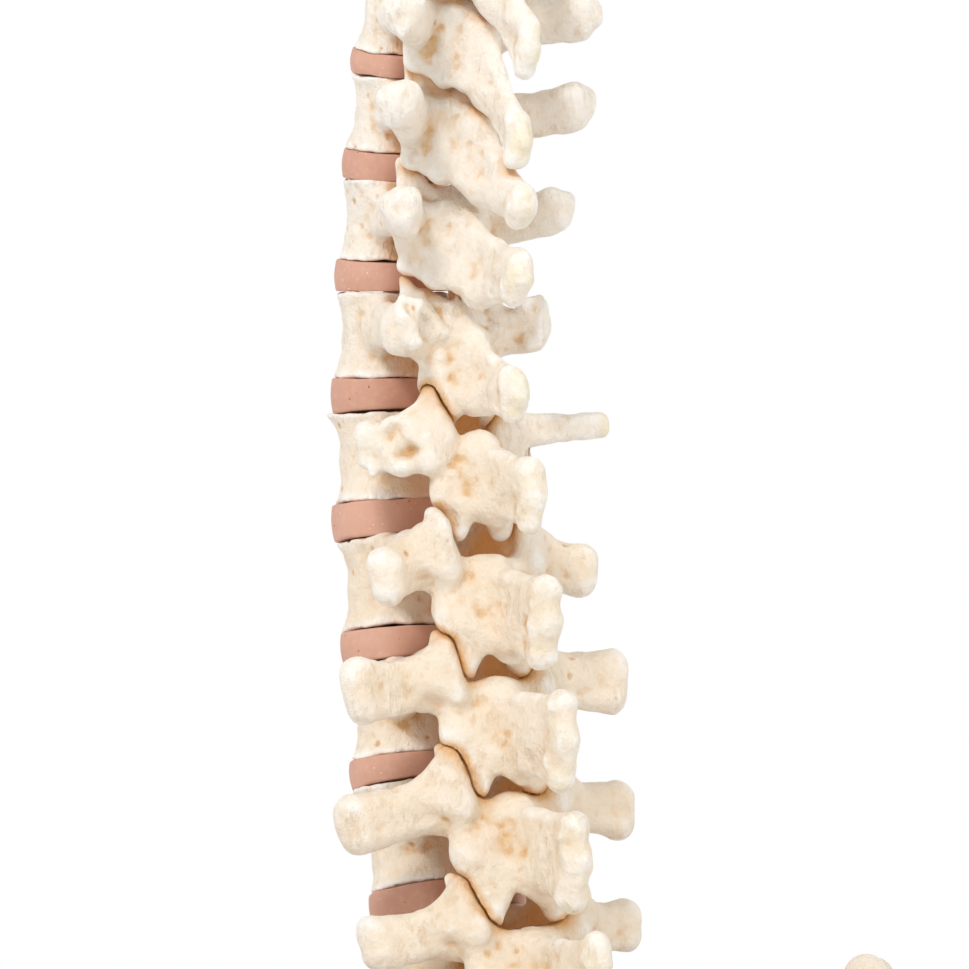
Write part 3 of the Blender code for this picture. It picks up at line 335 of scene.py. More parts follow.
    def facing(self, places, centre):
        """How much the skin at each place looks at the upright line through centre: 1 fully, -1 away from it."""
        step = np.array([self.cell, 0.0]) * 1.2
        slope = np.stack([self.sample(places + (*way, 0)) - self.sample(places - (*way, 0))
                          for way in (step, step[::-1])], axis=1)
        toward_line = np.array(centre[:2]) - places[:, :2]
        length = np.linalg.norm(slope, axis=1) * np.linalg.norm(toward_line, axis=1)
        return (slope * toward_line).sum(1) / np.maximum(length, 1e-6)

    def blurred(self, radius):
        """Mean of the clipped field over a cube."""
        reach = max(1, int(round(radius / self.cell)))
        total = np.clip(self.value, -4.0, 4.0).astype(np.float32)
        for axis in range(3):
            pad = [(0, 0)] * 3
            pad[axis] = (reach + 1, reach)
            running = np.cumsum(np.pad(total, pad, mode="edge"), axis=axis, dtype=np.float64)
            size = total.shape[axis]
            upper = np.take(running, np.arange(2 * reach + 1, 2 * reach + 1 + size), axis=axis)
            lower = np.take(running, np.arange(size), axis=axis)
            total = ((upper - lower) / (2 * reach + 1)).astype(np.float32)
        return total

    def close_border(self):
        for axis in range(3):
            for end in (0, -1):
                index = [slice(None)] * 3
                index[axis] = end
                self.value[tuple(index)] = np.maximum(self.value[tuple(index)], 0.5)

    def mesh(self, name, matrix, marks=(), above=None):
        """Skin of the field as an object.  Point attributes hold how hollow and how worn each place is, its seams,
        and painted shade in the canal and under the bone above.
        """
        self.value += SKIN
        self.close_border()
        grid = openvdb.FloatGrid(FAR)
        grid.copyFromArray(self.value)
        points, quads = grid.convertToQuads(0.0)
        points, quads = largest_skin(points, quads)
        places = points * self.cell + self.low
        mesh = bpy.data.meshes.new(name)
        mesh.vertices.add(len(points))
        mesh.vertices.foreach_set("co", in_world(places, matrix).astype(np.float32).ravel())
        mesh.loops.add(4 * len(quads))
        mesh.loops.foreach_set("vertex_index", quads[:, ::-1].astype(np.int32).ravel())
        mesh.polygons.add(len(quads))
        mesh.polygons.foreach_set("loop_start", np.arange(0, 4 * len(quads), 4, dtype=np.int32))
        mesh.polygons.foreach_set("use_smooth", np.ones(len(quads), bool))
        mesh.update(calc_edges=True)
        values = {"hollow_small": -self.sample(places, self.blurred(SMALL_HOLLOW)) / SMALL_HOLLOW,
                  "hollow_wide": -self.sample(places, self.blurred(WIDE_HOLLOW)) / WIDE_HOLLOW}
        values["seam"] = np.clip(OWN_SEAM - self.sample(places, self.near) / OWN_SEAM, 0, 1)
        # painted shade: the seam mark also darkens the skin under the overhanging bone above, fading out a few
        # millimetres from it
        if above:
            distance = above[0].sample(moved(places, matrix, above[1]))
            values["seam"] = np.maximum(values["seam"], np.clip((SHADE_UNDER_ABOVE - distance) / 4.0, 0, 1) ** 1.7)
        values["inner"] = np.zeros(len(points))
        values["tip"] = np.zeros(len(points))
        for label, centre, radii, strength in marks:
            away = places - np.array(centre)
            reach = np.sqrt(((away / np.array(radii)) ** 2).sum(1))
            inside = np.clip((1.25 - reach) * 2.0, 0, 1) * strength
            # painted shade in the canal is strongest on walls that face its middle
            if label == "inner":
                inside *= np.clip(0.4 + 1.6 * self.facing(places, centre), 0, 1)
            values[label] = np.maximum(values[label], inside)
        for label, value in values.items():
            attribute = mesh.attributes.new(label, "FLOAT", "POINT")
            attribute.data.foreach_set("value", np.asarray(value, np.float32))
        item = bpy.data.objects.new(name, mesh)
        bpy.context.scene.collection.objects.link(item)
        return item


def moved(places, matrix, other_matrix):
    """Places (n, 3) in millimetres of one frame, in millimetres of another."""
    turn = np.array(other_matrix.inverted() @ matrix)
    return places @ turn[:3, :3].T + turn[:3, 3] / MM


def in_world(places, matrix):
    """Places (n, 3) in millimetres of a frame, turned into metres of the scene."""
    turn = np.array(matrix)
    return places * MM @ turn[:3, :3].T + turn[:3, 3]


def largest_skin(points, quads):
    """Only the largest connected skin, with its points numbered again."""
    label = np.arange(len(points))
    pairs = np.concatenate([quads[:, (0, 1)], quads[:, (1, 2)], quads[:, (2, 3)]])
    while True:
        low = np.minimum(label[pairs[:, 0]], label[pairs[:, 1]])
        new = label.copy()
        np.minimum.at(new, pairs[:, 0], low)
        np.minimum.at(new, pairs[:, 1], low)
        new = new[new]
        if (new == label).all():
            break
        label = new
    labels, counts = np.unique(label, return_counts=True)
    keep = label == labels[counts.argmax()]
    number = np.cumsum(keep) - 1
    return points[keep], number[quads[keep[quads[:, 0]]]]


def both(shape, *balls, **options):
    """Run a field's bar or plate on the balls and on their mirror images."""
    shape(*balls, **options)
    shape(*[(-b[0], *b[1:]) for b in balls], **options)


# ---- vertebrae ----------------------------------------------------------------------------------------

def ragged(field, a, b, count, size):
    """Little points of uneven length along an edge from a to b, on both sides of the middle."""
    a, b = np.array(a, float), np.array(b, float)
    for mirror in (-1, 1):
        for step in range(count):
            share = (step + field.random.uniform(0.1, 0.9)) / count
            x, y, z = a + (b - a) * share + field.random.uniform(-0.6, 0.6, 3)
            r = size * field.random.uniform(0.4, 1.2)
            field.bar((mirror * x, y - 0.5, z + 2.5, size * 1.2), (mirror * x, y, z - r * 0.9, r * 0.55),
                      soft=2.2)


def knobs(field, a, b, count, size):
    """Little lumps strewn along a rim."""
    a, b = np.array(a, float), np.array(b, float)
    for step in range(count):
        x, y, z = a + (b - a) * (step + field.random.uniform(0, 1)) / count + field.random.uniform(-1, 1,
                                                                                                   3) * size
        r = size * field.random.uniform(0.6, 1.2)
        field.ball((x, y, z), (r, r, r * field.random.uniform(0.8, 1.7)), soft=2.4)


def spinous(field, bone, root_top, root_bottom, thin=0.66):
    """Blade of the spinous process with a thicker, uneven rear edge."""
    (ty, tz), (by, bz), thick = bone.top, bone.bottom, bone.thick
    field.plate((0, *root_top, 3.2), (0, *root_bottom, 2.8), (0, ty - 1, tz, thick * thin),
                (0, by - 1, bz, thick * thin), soft=5.0)
    middle = ((ty + by) / 2 + 1.2, (tz + bz) / 2)
    field.bar((0, ty, tz, thick * 0.66), (0, *middle, thick * 0.8), soft=4.0)
    field.bar((0, *middle, thick * 0.8), (0, by, bz, thick * 0.8), soft=4.0)
    for mirror in (-1, 1):
        knobs(field, (mirror * thick * 0.55, ty - 0.6, tz), (mirror * thick * 0.55, by - 0.6, bz), 7,
              thick * 0.36)


def lumbar(field, bone):
    """Square lamina, hooked joint processes and a long transverse process."""
    back = bone.depth / 2.0
    arch = bone.arch
    half = bone.height / 2.0
    side = 13.4 + (bone.width - 41) * 0.42
    rise = -5.5 if bone.name in ("L4", "L5") else -1.6
    field.drum(bone.width, bone.depth, bone.height)
    both(field.plate, (bone.width * 0.29, back - 5, 8.5, 3.8), (bone.width * 0.29, back - 5, 1, 4.0),
         (side, arch - 5, 8.5, 3.8), (side, arch - 5, 1, 3.6), soft=4.0)
    # thin web in the notch above the right pedicle
    web = half + (7.5 if bone.name in ("L3", "L4") else 5.0)
    field.plate((-side - 1, back - 0.5, 8, 2.6), (-side, back - 0.5, web, 1.7), (-side, arch - 5, 8, 2.6),
                (-side, arch - 4, half + 3.5, 1.6), soft=2.0)
    field.plate((-side - 1, back - 0.5, 8, 2.4), (-side, back - 0.5, web - 1.0, 1.7),
                (-side - 7, back - 4.5, 8, 2.4),
                (-side - 6, back - 4.0, half + 3.5, 1.7), soft=2.0)
    # upper joint process, spread out sideways into a wing
    both(field.plate, (side, arch - 5, 2, 3.4), (side + 0.2, arch - 1.5, half + 2.0, 1.7),
         (side - 0.6, arch + 3.5, 1, 3.0), (side - 0.2, arch + 2.8, half - 1.0, 1.7), soft=2.5)
    both(field.plate, (side, arch + 1.5, half + 0.5, 1.5), (side - 0.6, arch + 4.6, -2.0, 2.0),
         (side + 9.5, arch - 3.5, 5, 3.0), soft=2.5)
    both(field.bar, (side + 1.8, arch + 1.2, half - 3.5, 2.0), (side + 3.8, arch + 1.2, 3, 2.2), soft=4.0)
    # lamina
    both(field.plate, (side - 0.5, arch + 1, -1, 3.2), (0, arch + 3.0, rise, 3.2),
         (side - 1.8, arch + 0.5, -13, 3.3),
         (0, arch + 8, -21, 2.8), soft=4.0)
    both(field.plate, (side - 1, arch - 2, -1, 3.0), (0, arch + 1, rise - 1, 3.0),
         (side - 2, arch - 1, -11, 2.8),
         (0, arch + 4, -14, 2.8), soft=4.0)
    # lower joint process
    end = 4.0 if bone.name == "L3" else 3.1
    both(field.plate, (side - 1.8, arch + 0.5, -12, 3.3), (5.0, arch + 6.5, -18.5, 2.7),
         (side - 4.8, arch + 1.5, -half - 14.5, end), soft=3.5)
    x, y, z, radius = bone.process
    tall = radius * (1.0 if bone.name == "L2" else 0.7)
    both(field.plate, (side + 1, arch - 5, 6, 3.2), (side + 1, arch - 5, -1, 3.0),
         (x, y, z + tall, radius * 0.66), (x - 1.2, y - 0.5, z - tall, radius * 0.72), soft=4.0)
    both(field.bar, (x - 0.5, y + 0.3, z + tall * 0.6, radius * 0.8),
         (x - 1.0, y, z - tall * 0.7, radius * 0.84),
         soft=2.5)
    spinous(field, bone, (arch + 7, rise - 2), (arch + 9, -20))
    field.plate((2 - side, arch + 0.5, -13, 3.0), (5 - side, arch + 1.5, -half - 12, 3.0),
                (0, arch + 7, -20, 2.8),
                (-1.0, arch + 8.0, -24, 2.4), soft=3.0)
    ragged(field, (1.5, arch + 8.5, -23.0), (6.5, arch + 6.5, -20.5), 4, 1.3)
    ragged(field, (6.0, arch + 5.5, -21.5), (side - 3.5, arch + 2, -half - 16), 4, 1.2)
    knobs(field, (side - 1.5, arch + 2.5, -8), (side - 4, arch + 3, -half - 11), 5, 1.4)
    field.bar((0, (back + arch - 2) / 2 + 0.2, -half - 20, 8.0),
              (0, (back + arch - 2) / 2 + 0.2, half + 10, 8.0),
              soft=2.0, carve=True)


def transition(field, bone):
    """Lowest two thoracic bones: three knobs in place of a transverse process."""
    back = bone.depth / 2.0
    arch = bone.arch
    half = bone.height / 2.0
    side = 10.0
    last = bone.name == "T12"
    field.drum(bone.width, bone.depth, bone.height)
    both(field.plate, (bone.width * 0.28, back - 5, 6, 3.6), (bone.width * 0.28, back - 5, 0, 3.6),
         (side + 1.5, arch - 5, 5, 3.6), (side + 1.5, arch - 5, 0, 3.2), soft=4.0)
    upper = (side + 1, arch, half + 1.5, 2.2) if last else (side + 1.0, arch - 9.4, half + 3.2, 1.7)
    both(field.plate, (side + 1, arch - 5, 3, 3.2), upper, (side - 1, arch + 3.5, 1, 3.0), soft=2.5)
    both(field.plate, (side + 0.5, arch - 2, half - 1, 1.8), (side + 1, arch - 6, half - 1.5, 1.8),
         (side + 0.5, arch, 4, 2.6), soft=2.5)
    both(field.plate, (side - 0.5, arch + 1, -1, 3.1), (0, arch + 5, -1.6, 3.0),
         (side - 1.5, arch + 1, -13, 3.1),
         (0, arch + 10, -18 if last else -16.5, 2.6), soft=4.0)
    both(field.plate, (side - 1.5, arch + 1, -12, 3.0), (4.5, arch + 7.5, -17, 2.6),
         (side - 3.4, arch + 3.5, -half - 11.5, 2.8), soft=3.0)
    x, y, z, _ = bone.process
    if last:
        field.plate((2 - side, arch + 1, -13, 3.0), (3.4 - side, arch + 3.5, -half - 9, 2.6),
                    (0, arch + 9, -18, 2.6),
                    (-1.0, arch + 10, -20.5, 2.2), soft=3.0)
        both(field.plate, (side + 3, arch - 6, 7, 3.2), (side + 3, arch - 6, -2, 3.2), (x, y, z + 3.0, 2.6),
             (x - 0.5, y - 0.5, z - 4.5, 2.6), soft=3.0)
        both(field.plate, (side + 1, arch + 1, 5, 3.2), (side + 1, arch + 1, -3, 3.2),
             (side + 9.5, arch - 4, 5, 2.6),
             (side + 8.5, arch - 3, -5, 2.6), soft=3.5)
        both(field.plate, (side + 9.5, arch - 4, 4.5, 2.2), (side + 8.5, arch - 3, -5, 2.2),
             (x, y + 1, z + 2.0, 2.4),
             (x - 0.5, y, z - 4.5, 2.4), soft=3.0)
        both(field.plate, (side + 1.5, arch + 0.5, half + 1, 1.4), (side - 1, arch + 3, 3, 2.4),
             (side + 9.0, arch - 3, 6.5, 2.2), soft=2.5)
        both(field.bar, (side + 4, arch + 2.4, 2, 2.0), (side + 3.5, arch + 2.4, -5.0, 2.2), soft=4.0)
        both(field.ball, (side + 9.0, arch - 0.2, -1.5), (2.8, 1.6, 1.1), soft=2.5, carve=True)
        both(field.ball, (side + 11.0, arch - 2.5, 2.5), (1.2, 1.5, 2.2), soft=2.5, carve=True)
        for mirror in (-1, 1):
            knobs(field, (mirror * (side + 5), arch + 2.5, 6), (mirror * x, y + 3, -5), 9, 1.3)
        field.plate((-side - 7, arch + 1, 6.0, 2.5), (-side - 7, arch + 1, 1.4, 2.5), (-41.5, 35.5, 5.2, 2.0),
                    (-42.0, 35.5, 2.9, 1.9), soft=3.0)
    else:
        both(field.bar, (side, arch - 4, 3, 5.0), (x - 2, y - 1, z - 1, 4.6), soft=4.0)
        both(field.plate, (side, arch - 1, -3, 3.2), (x - 1, y - 1, z - 4.5, 3.4),
             (x - 1, y - 1, z + 1.5, 3.6), soft=4.0)
        both(field.plate, (x - 0.5, y, z + 1, 2.8), (x - 1.0, y + 1, z + 7.0, 1.5),
             (x - 6, y + 1, z + 5.5, 2.0), soft=3.0)
        for mirror in (-1, 1):
            knobs(field, (mirror * (x + 0.5), y + 2, z + 4), (mirror * (x - 4), y + 3.5, z - 6), 9, 1.4)
        # thin web under the lamina above, torn into splinters
        both(field.plate, (side - 2, arch - 2, 3, 2.2), (side - 2.5, arch - 4, half - 1.0, 1.5),
             (0, arch + 4, 1, 2.4),
             (1.0, arch + 1, half - 5.0, 1.5), soft=2.5)
        for step in range(6):
            across = -5.5 + 2.3 * step + field.random.uniform(-0.8, 0.8)
            tall = half - 4.0 + field.random.uniform(0.0, 3.6)
            lean_over = field.random.uniform(-1.3, 1.3)
            field.bar((across, arch + 2.5, 3, 1.6), (across + lean_over, arch + 1.0, tall, 0.75), soft=1.8)
    spinous(field, bone, (arch + 8, -3), (arch + 12, -17))
    ragged(field, (1.0, arch + 10, -19.5), (7.5, arch + 5, -18.5), 5, 1.2)
    knobs(field, (side - 1.5, arch + 4.0, -6), (side - 3.5, arch + 5, -half - 9), 4, 0.9)
    field.plate((-side - 2, back - 0.5, 6, 2.4), (-side - 0.2, back - 0.5, half + 4.0, 2.2),
                (-side - 1, arch - 5, 6, 2.4),
                (-side - 1, arch - 4, half + 4.0, 1.6), soft=2.0)
    field.plate((-side - 2, back - 0.5, 6, 2.4), (-side - 0.2, back - 0.5, half + 4.0, 2.0),
                (-side - 6, back - 4.5, 6, 2.2),
                (-side - 5, back - 3.6, half + 4.6, 1.6), soft=2.0)
    field.bar((0, (back + arch) / 2 - 0.5, -half - 16, 7.4), (0, (back + arch) / 2 - 0.5, half + 10, 7.4),
              soft=2.0, carve=True)


def thoracic(field, bone):
    """Broad sloping lamina that runs into a long blade, and a club on each side."""
    back = bone.depth / 2.0
    arch = bone.arch
    half = bone.height / 2.0
    field.drum(bone.width, bone.depth, bone.height)
    both(field.plate, (bone.width * 0.28, back - 5, 5, 3.2), (bone.width * 0.28, back - 5, 0, 3.2),
         (11.0, arch - 3, 4, 3.2), (11.0, arch - 3, 0, 2.8), soft=4.0)
    # lamina: side edge, lower edge, middle
    low = -half + 0.4
    both(field.plate, (11.3, arch - 1, 2, 3.0), (5.5, arch + 5, 4, 2.7), (11.0, arch - 2.4, low, 2.3),
         (7.6, arch + 6, low - 2.8, 2.2), soft=3.0)
    both(field.plate, (5.5, arch + 5, 4, 2.7), (7.6, arch + 6, low - 2.8, 2.2), (0, arch + 9.5, 1, 2.8),
         (4.0, arch + 12, low - 3.2, 2.2), (0, arch + 15.5, low - 5.5, 2.6), soft=3.0)
    # upper joint process, joined by the upper part of the lamina
    both(field.plate, (10.6, arch - 4.5, 3, 2.6), (5.0, arch - 3, 4, 2.2), (10.4, arch - 7.6, half + 5.2, 1.6),
         (5.4, arch - 7.0, half + 4.6, 1.5), soft=2.5)
    edge = half + (1.5 if bone.name == "T10" else 5.0)
    both(field.plate, (8.0, arch - 0.5, 4, 2.6), (8.0, arch - 4.0, edge, 1.7), (0, arch + 6.5, 3, 2.6),
         (1.0, arch + 3.0, edge - 2.5, 1.7), soft=3.0)
    x, y, z, radius = bone.process
    both(field.bar, (11.0, arch - 1, 3, 4.8), (x - 3, y - 2.5, z, radius * 0.9), soft=4.5)
    both(field.plate, (11.5, arch - 2, -4, 2.8), (x - 4, y - 2.5, z - 4, radius * 0.6),
         (x - 1, y - 1, z - 1, radius * 0.8),
         soft=4.0)
    both(field.plate, (x + 1.2, y - 1.5, z + 1.5, radius * 0.6), (x - 2.5, y + 0.6, z + 3.2, radius * 0.62),
         (x - 1.5, y - 0.5, z - 2.8, radius * 0.56), soft=4.0)
    for mirror in (-1, 1):
        knobs(field, (mirror * (x + 1.5), y + 0.5, z + radius * 0.7),
              (mirror * (x - 1), y + 1.5, z - radius * 0.7), 7, 1.5)
    spinous(field, bone, (arch + 12, -1), (arch + 17, low - 6), 0.74)
    ragged(field, (10.0, arch + 1, low - 2.2), (2.5, arch + 13, low - 5.4), 8, 0.9)
    field.bar((0, back + 6.8, -half - 14, 6.4), (0, back + 6.8, half + 14, 6.4), soft=2.0, carve=True)


def cervical(field, bone):
    """Low body with two articular pillars and a short split process."""
    back = bone.depth / 2.0
    half = bone.height / 2.0
    side = 11.0
    x, y, z, radius = bone.process
    field.drum(bone.width, bone.depth, bone.height, waist=0.08)
    both(field.bar, (bone.width * 0.36, back - 3, 1, 2.6), (side + 4, back + 4, 1, 2.6), soft=2.5)
    both(field.bar, (side + 5, back + 5, 4.0, 3.0), (side + 4, back + 7, -3.6, 3.0), soft=2.5)
    both(field.plate, (side + 3, back + 8, 2, 2.0), (side + 2, back + 9, -3, 2.0),
         (0, back + 15, 1, 2.1), (0, back + 16, -4.5, 2.0), soft=2.5)
    both(field.bar, (bone.width * 0.38, -1, -1, 2.2), (x - 1, y - 4, z, radius * 0.7), soft=2.0)
    both(field.bar, (side + 5, back + 3, 0, 2.4), (x, y, z, radius * 0.85), soft=2.0)
    both(field.bar, (x - 1, y - 4, z, radius * 0.7), (x, y, z, radius * 0.8), soft=1.5)
    tip = (3.0, bone.top[0], (bone.top[1] + bone.bottom[1]) / 2, bone.thick * 0.9)
    both(field.bar, (0, back + 15, -2, 2.1), tip, soft=2.5)
    field.bar((0, back + 6.8, -half - 8, 6.2), (0, back + 6.8, half + 8, 6.2), soft=1.5, carve=True)


def axis(field, bone):
    """Second cervical bone, with the dens on its body."""
    back = bone.depth / 2.0
    field.drum(bone.width, bone.depth, bone.height, waist=0.06)
    both(field.plate, (8, 0, -1, 3.8), (11, 0, 5, 3.0), (14, 3, -1, 2.8), (17, 1, 3.2, 2.6), soft=3.0)
    both(field.bar, (13, 4, 0, 3.6), (15, back + 6, -3.5, 3.1), soft=3.0)
    both(field.plate, (13, back + 4, 1, 2.7), (13, back + 7, -4, 2.6), (0, back + 17, 1, 2.9),
         (0, back + 18, -5, 2.5), soft=3.0)
    both(field.bar, (14, 2, -2, 2.9), (24, 5, -3, 2.6), soft=2.5)
    both(field.bar, (0, back + 17, -2, 3.0), (4.0, bone.top[0], -6, bone.thick * 0.92), soft=3.0)
    field.bar((0, DENS_BACK, 6, 5.2), (0, DENS_BACK, DENS_TOP - 4.8, 4.7), soft=3.0)
    field.bar((0, back + 7.5, -16, 6.6), (0, back + 7.5, 26, 6.6), soft=1.5, carve=True)
    field.cut_plane((0, 0, DENS_TOP), (0, 0, 1))


KINDS = {"lumbar": lumbar, "thoracic": thoracic, "transition": transition, "cervical": cervical, "axis": axis}


def finish_bone(item, body, node):
    """Tie a bone to its body, hide the frame's part of its node, and give it the resin."""
    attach(item, body)
    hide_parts(node)
    item.data.materials.append(BONE_MATERIAL)
    return item


def vertebra_field(level, seed, lower_field, lower_matrix):
    bone = level["bone"]
    x = max(bone.process[0] + bone.process[3], bone.width / 2, STUB_REACH if bone.name == "T12" else 0) + 3.0
    rear = max(bone.top[0], bone.bottom[0]) + bone.thick + 4
    reach = {"lumbar": 20, "transition": 15, "thoracic": 10}.get(bone.kind, 8)
    bottom = min(-bone.height / 2 - reach, bone.bottom[1] - bone.thick) - 3
    top = (DENS_TOP if bone.kind == "axis" else bone.height / 2 + 8) + 3
    field = Field((-x, -bone.depth / 2 - 3, bottom), (x, rear, top), bone.cell, seed)
    KINDS[bone.kind](field, bone)
    field.roughen(*VERTEBRA_NOISE, scale=0.6 if bone.name[0] == "C" else 1.0)
    if bone.cell == FINE:
        half = bone.height / 2
        field.pits(45, (-25, -bone.depth / 2, -half), (25, bone.depth / 2, half), 0.42)
        field.pits(14, (-30, bone.arch - 14, -half), (30, bone.arch + 8, half), 0.34)
    field.bore(BORE, -bone.height, 2.0 if bone.kind == "axis" else bone.height)
    if bone.kind == "axis":
        field.bore(2.3, 0.0, DENS_TOP + 3, DENS_BACK)
    matrix = place(level["centre"], bone.tilt)
    if lower_field is not None:
        field.keep_clear(lower_field, lower_matrix, matrix, JOINT_LINE, bone.depth / 2 - 2)
    return field, matrix


def skin_vertebra(bone, field, matrix, above):
    """Turn a field into a bone; above is the field and matrix of the next one up."""
    middle = np.mean([bone.top, bone.bottom], axis=0)
    tall = abs(bone.top[1] - bone.bottom[1]) / 2 + bone.thick + 1
    # the first mark paints shade inside the canal
    marks = [("inner", (0, (bone.depth / 2 + bone.arch) / 2, 0), (14, 13, 60), 1.0)]
    if bone.kind == "thoracic" or bone.name == "T11":
        marks.append(("tip", (0, middle[0] + 3, middle[1]), (5, 2.5 + bone.thick * 0.5, tall - 1.0), 1.0))
    else:
        marks.append(("tip", (0, bone.bottom[0] + 2, bone.bottom[1]), (5, bone.thick, bone.thick + 2), 0.8))
        marks.append(("tip", (0, middle[0] + 3, middle[1]), (5, 3.0 + bone.thick * 0.5, tall), 0.3))
    if bone.name == "T12":
        marks.append(("tip", STUB, (4, 5, 5), 1.0))
    name = "vertebra_" + bone.name
    finish_bone(field.mesh("bone_" + bone.name, matrix, marks, above), name, name)


def make_atlas(level):
    tilt = level["bone"].tilt
    field = Field((-34, -16, -14), (34, 34, 14), MEDIUM, 77)
    points = [(0, -11.5), (10, -10), (17, -3), (19, 8), (14, 19), (0, 26)]
    radii = [3.4, 3.0, 4.6, 3.2, 3.0, 3.2]
    for i in range(len(points) - 1):
        a, b = points[i], points[i + 1]
        both(field.bar, (*a, 0, radii[i]), (*b, 0, radii[i + 1]), soft=3.0)
    both(field.bar, (17, -2, 2, 4.4), (16, 5, 2, 4.2), soft=3.0)
    both(field.bar, (19, 2, 0, 3.0), (29.5, 3, -1, 3.2), soft=3.0)
    field.roughen((7.0, 0.25), (3.0, 0.12))
    centre = level["centre"] + lean(tilt) @ Vector((0, 0, ATLAS_RISE))
    return field, place(centre, tilt)


# ---- pelvis -------------------------------------------------------------------------------------------
# Points of the pelvis are measured from the middle of the top of the sacrum, in upright standing.

SACRUM_END = -87.5
SACROILIAC_PLANE = 46.0
SYMPHYSIS_HALF = 3.2
JOINT_GAP = 0.4
SPIGOT_RADIUS = 8.0
SPIGOT_LENGTH = 34.0
SCREW_RADIUS = 2.5
SCREW_HEAD_RADIUS = 5.0
SCREW_SEAT = 15.0
CORE_RADIUS = 3.0
CORE_DEPTH_IN_SACRUM = 24.0
PELVIS = place(SACRUM_TOP, PELVIC_TILT)


def sacrum_field():
    field = Field((-54, -30, -94), (54, 58, 16), MEDIUM, 11)
    field.drum(50, 34, 22, tilt=SACRAL_SLOPE, waist=0.08, dish=0.4,
               centre=lean(SACRAL_SLOPE) @ Vector((0, 0, -11)))
    line = [(0, 7, -11, 12), (0, 22, -30, 11), (0, 32, -49, 9.5), (0, 36, -66, 8), (0, 33.5, -86, 6.5)]
    for lower, upper in zip(line[1:], line[:-1]):
        field.bar(lower, upper, soft=5.0)
    both(field.plate, (16, 6, -12, 8), (41, 8, -12, 7.4), (20, 22, -30, 8), (42, 20, -22, 7), soft=6.0)
    both(field.plate, (42, 12, -20, 7.6), (18, 24, -34, 8), (43, 26, -36, 6.6), (18, 30, -40, 6.5), soft=6.0)
    both(field.plate, (40, 26, -36, 6), (18, 26, -38, 6), (26, 36, -56, 5), (13, 33, -50, 6), soft=5.0)
    both(field.plate, (26, 36, -56, 5), (12, 34, -60, 6), (13, 38, -80, 4.5), (5, 35, -70, 5), soft=4.0)
    both(field.bar, (19, 17, -3, 3.6), (18, 21, 8, 3.0), soft=3.0)
    both(field.plate, (19, 17, -3, 3.4), (10, 28, -10, 3.6), (24, 28, -14, 4.6), (20, 38, -34, 3.6), soft=4.0)
    crest = [(0, 33, -8, 3), (0, 42, -24, 3), (0, 47, -44, 3), (0, 46, -60, 3)]
    for lower, upper in zip(crest[1:], crest[:-1]):
        field.plate(lower, upper, (0, lower[1] - 9, lower[2] + 2, 4.5), (0, upper[1] - 9, upper[2] + 2, 4.5),
                    soft=4.0)
    for y, z in ((40, -18), (45, -36), (47, -54)):
        field.ball((0, y + 1, z), (2.6, 3.2, 4.5), soft=3.0)
    holes = [(15, 15, -24, 3.6), (14.5, 27, -42, 3.2), (13.5, 32, -57, 2.8), (12.5, 33, -71, 2.4)]
    for x, y, z, r in holes:
        both(field.bar, (x, y - 22, z + 6, r * 1.15), (x + 2, y + 22, z - 8, r * 0.8), soft=3.0, carve=True)
    field.bar((0, 26, -2, 6.5), (0, 38, -34, 3.5), soft=2.5, carve=True)
    field.roughen((12.0, 0.5), (5.0, 0.3), (2.4, 0.12))
    for side in (-1, 1):
        field.cut_plane((side * SACROILIAC_PLANE, 0, 0), (side, 0, 0))
    field.cut_plane((0, 0, SACRUM_END), (0, 0, -1))
    return field


def carve_tube(field, start, end, radius):
    """Straight hole with flat ends, given in the field's own frame."""
    a, b = np.array(start, float), np.array(end, float)
    cuts, x, y, z = field.window(np.minimum(a, b) - radius, np.maximum(a, b) + radius, 1.0)
    way = (b - a) / np.linalg.norm(b - a)
    px, py, pz = x - a[0], y - a[1], z - a[2]
    along = px * way[0] + py * way[1] + pz * way[2]
    away = np.sqrt(np.maximum(px ** 2 + py ** 2 + pz ** 2 - along ** 2, 0)) - radius
    ends = np.maximum(-along, along - np.linalg.norm(b - a))
    field.value[cuts] = np.maximum(field.value[cuts], -np.maximum(away, ends)).astype(np.float32)


def to_pelvis(point):
    return np.array(PELVIS.inverted() @ (Vector(point) * MM)) / MM


def make_sacrum():
    field = sacrum_field()
    up = lean(SACRAL_SLOPE) @ Vector((0, 0, 1))
    x, y, z = field.grid()
    above = x * up[0] + y * up[1] + z * up[2]
    front = y * up[2] - z * up[1] - 16.0
    lid = np.maximum(np.maximum(-above, front), np.abs(x) - 27.0).astype(np.float32)
    field.value = np.maximum(field.value, -lid)
    slope = lean(SACRAL_SLOPE + PELVIC_TILT)
    deep = SACRUM_TOP - slope @ Vector((0, 0, CORE_DEPTH_IN_SACRUM + 1.0))
    high = SACRUM_TOP + slope @ Vector((0, 0, 12.0))
    carve_tube(field, to_pelvis(deep), to_pelvis(high), BORE)
    carve_tube(field, to_pelvis((0, 0, -20)), to_pelvis((0, 0, SPIGOT_LENGTH + 0.4)), SPIGOT_RADIUS + JOINT_GAP)
    for side in (-1, 1):
        carve_tube(field, (side * (SACROILIAC_PLANE - 17), 24, -28), (side * 60, 24, -28),
                   SCREW_RADIUS + JOINT_GAP)
    # painted shade inside the sacral canal
    item = field.mesh("bone_sacrum", PELVIS, [("inner", (0, 30, -14), (9, 12, 26), 1.0)])
    return finish_bone(item, "pelvis", "sacrum"), field


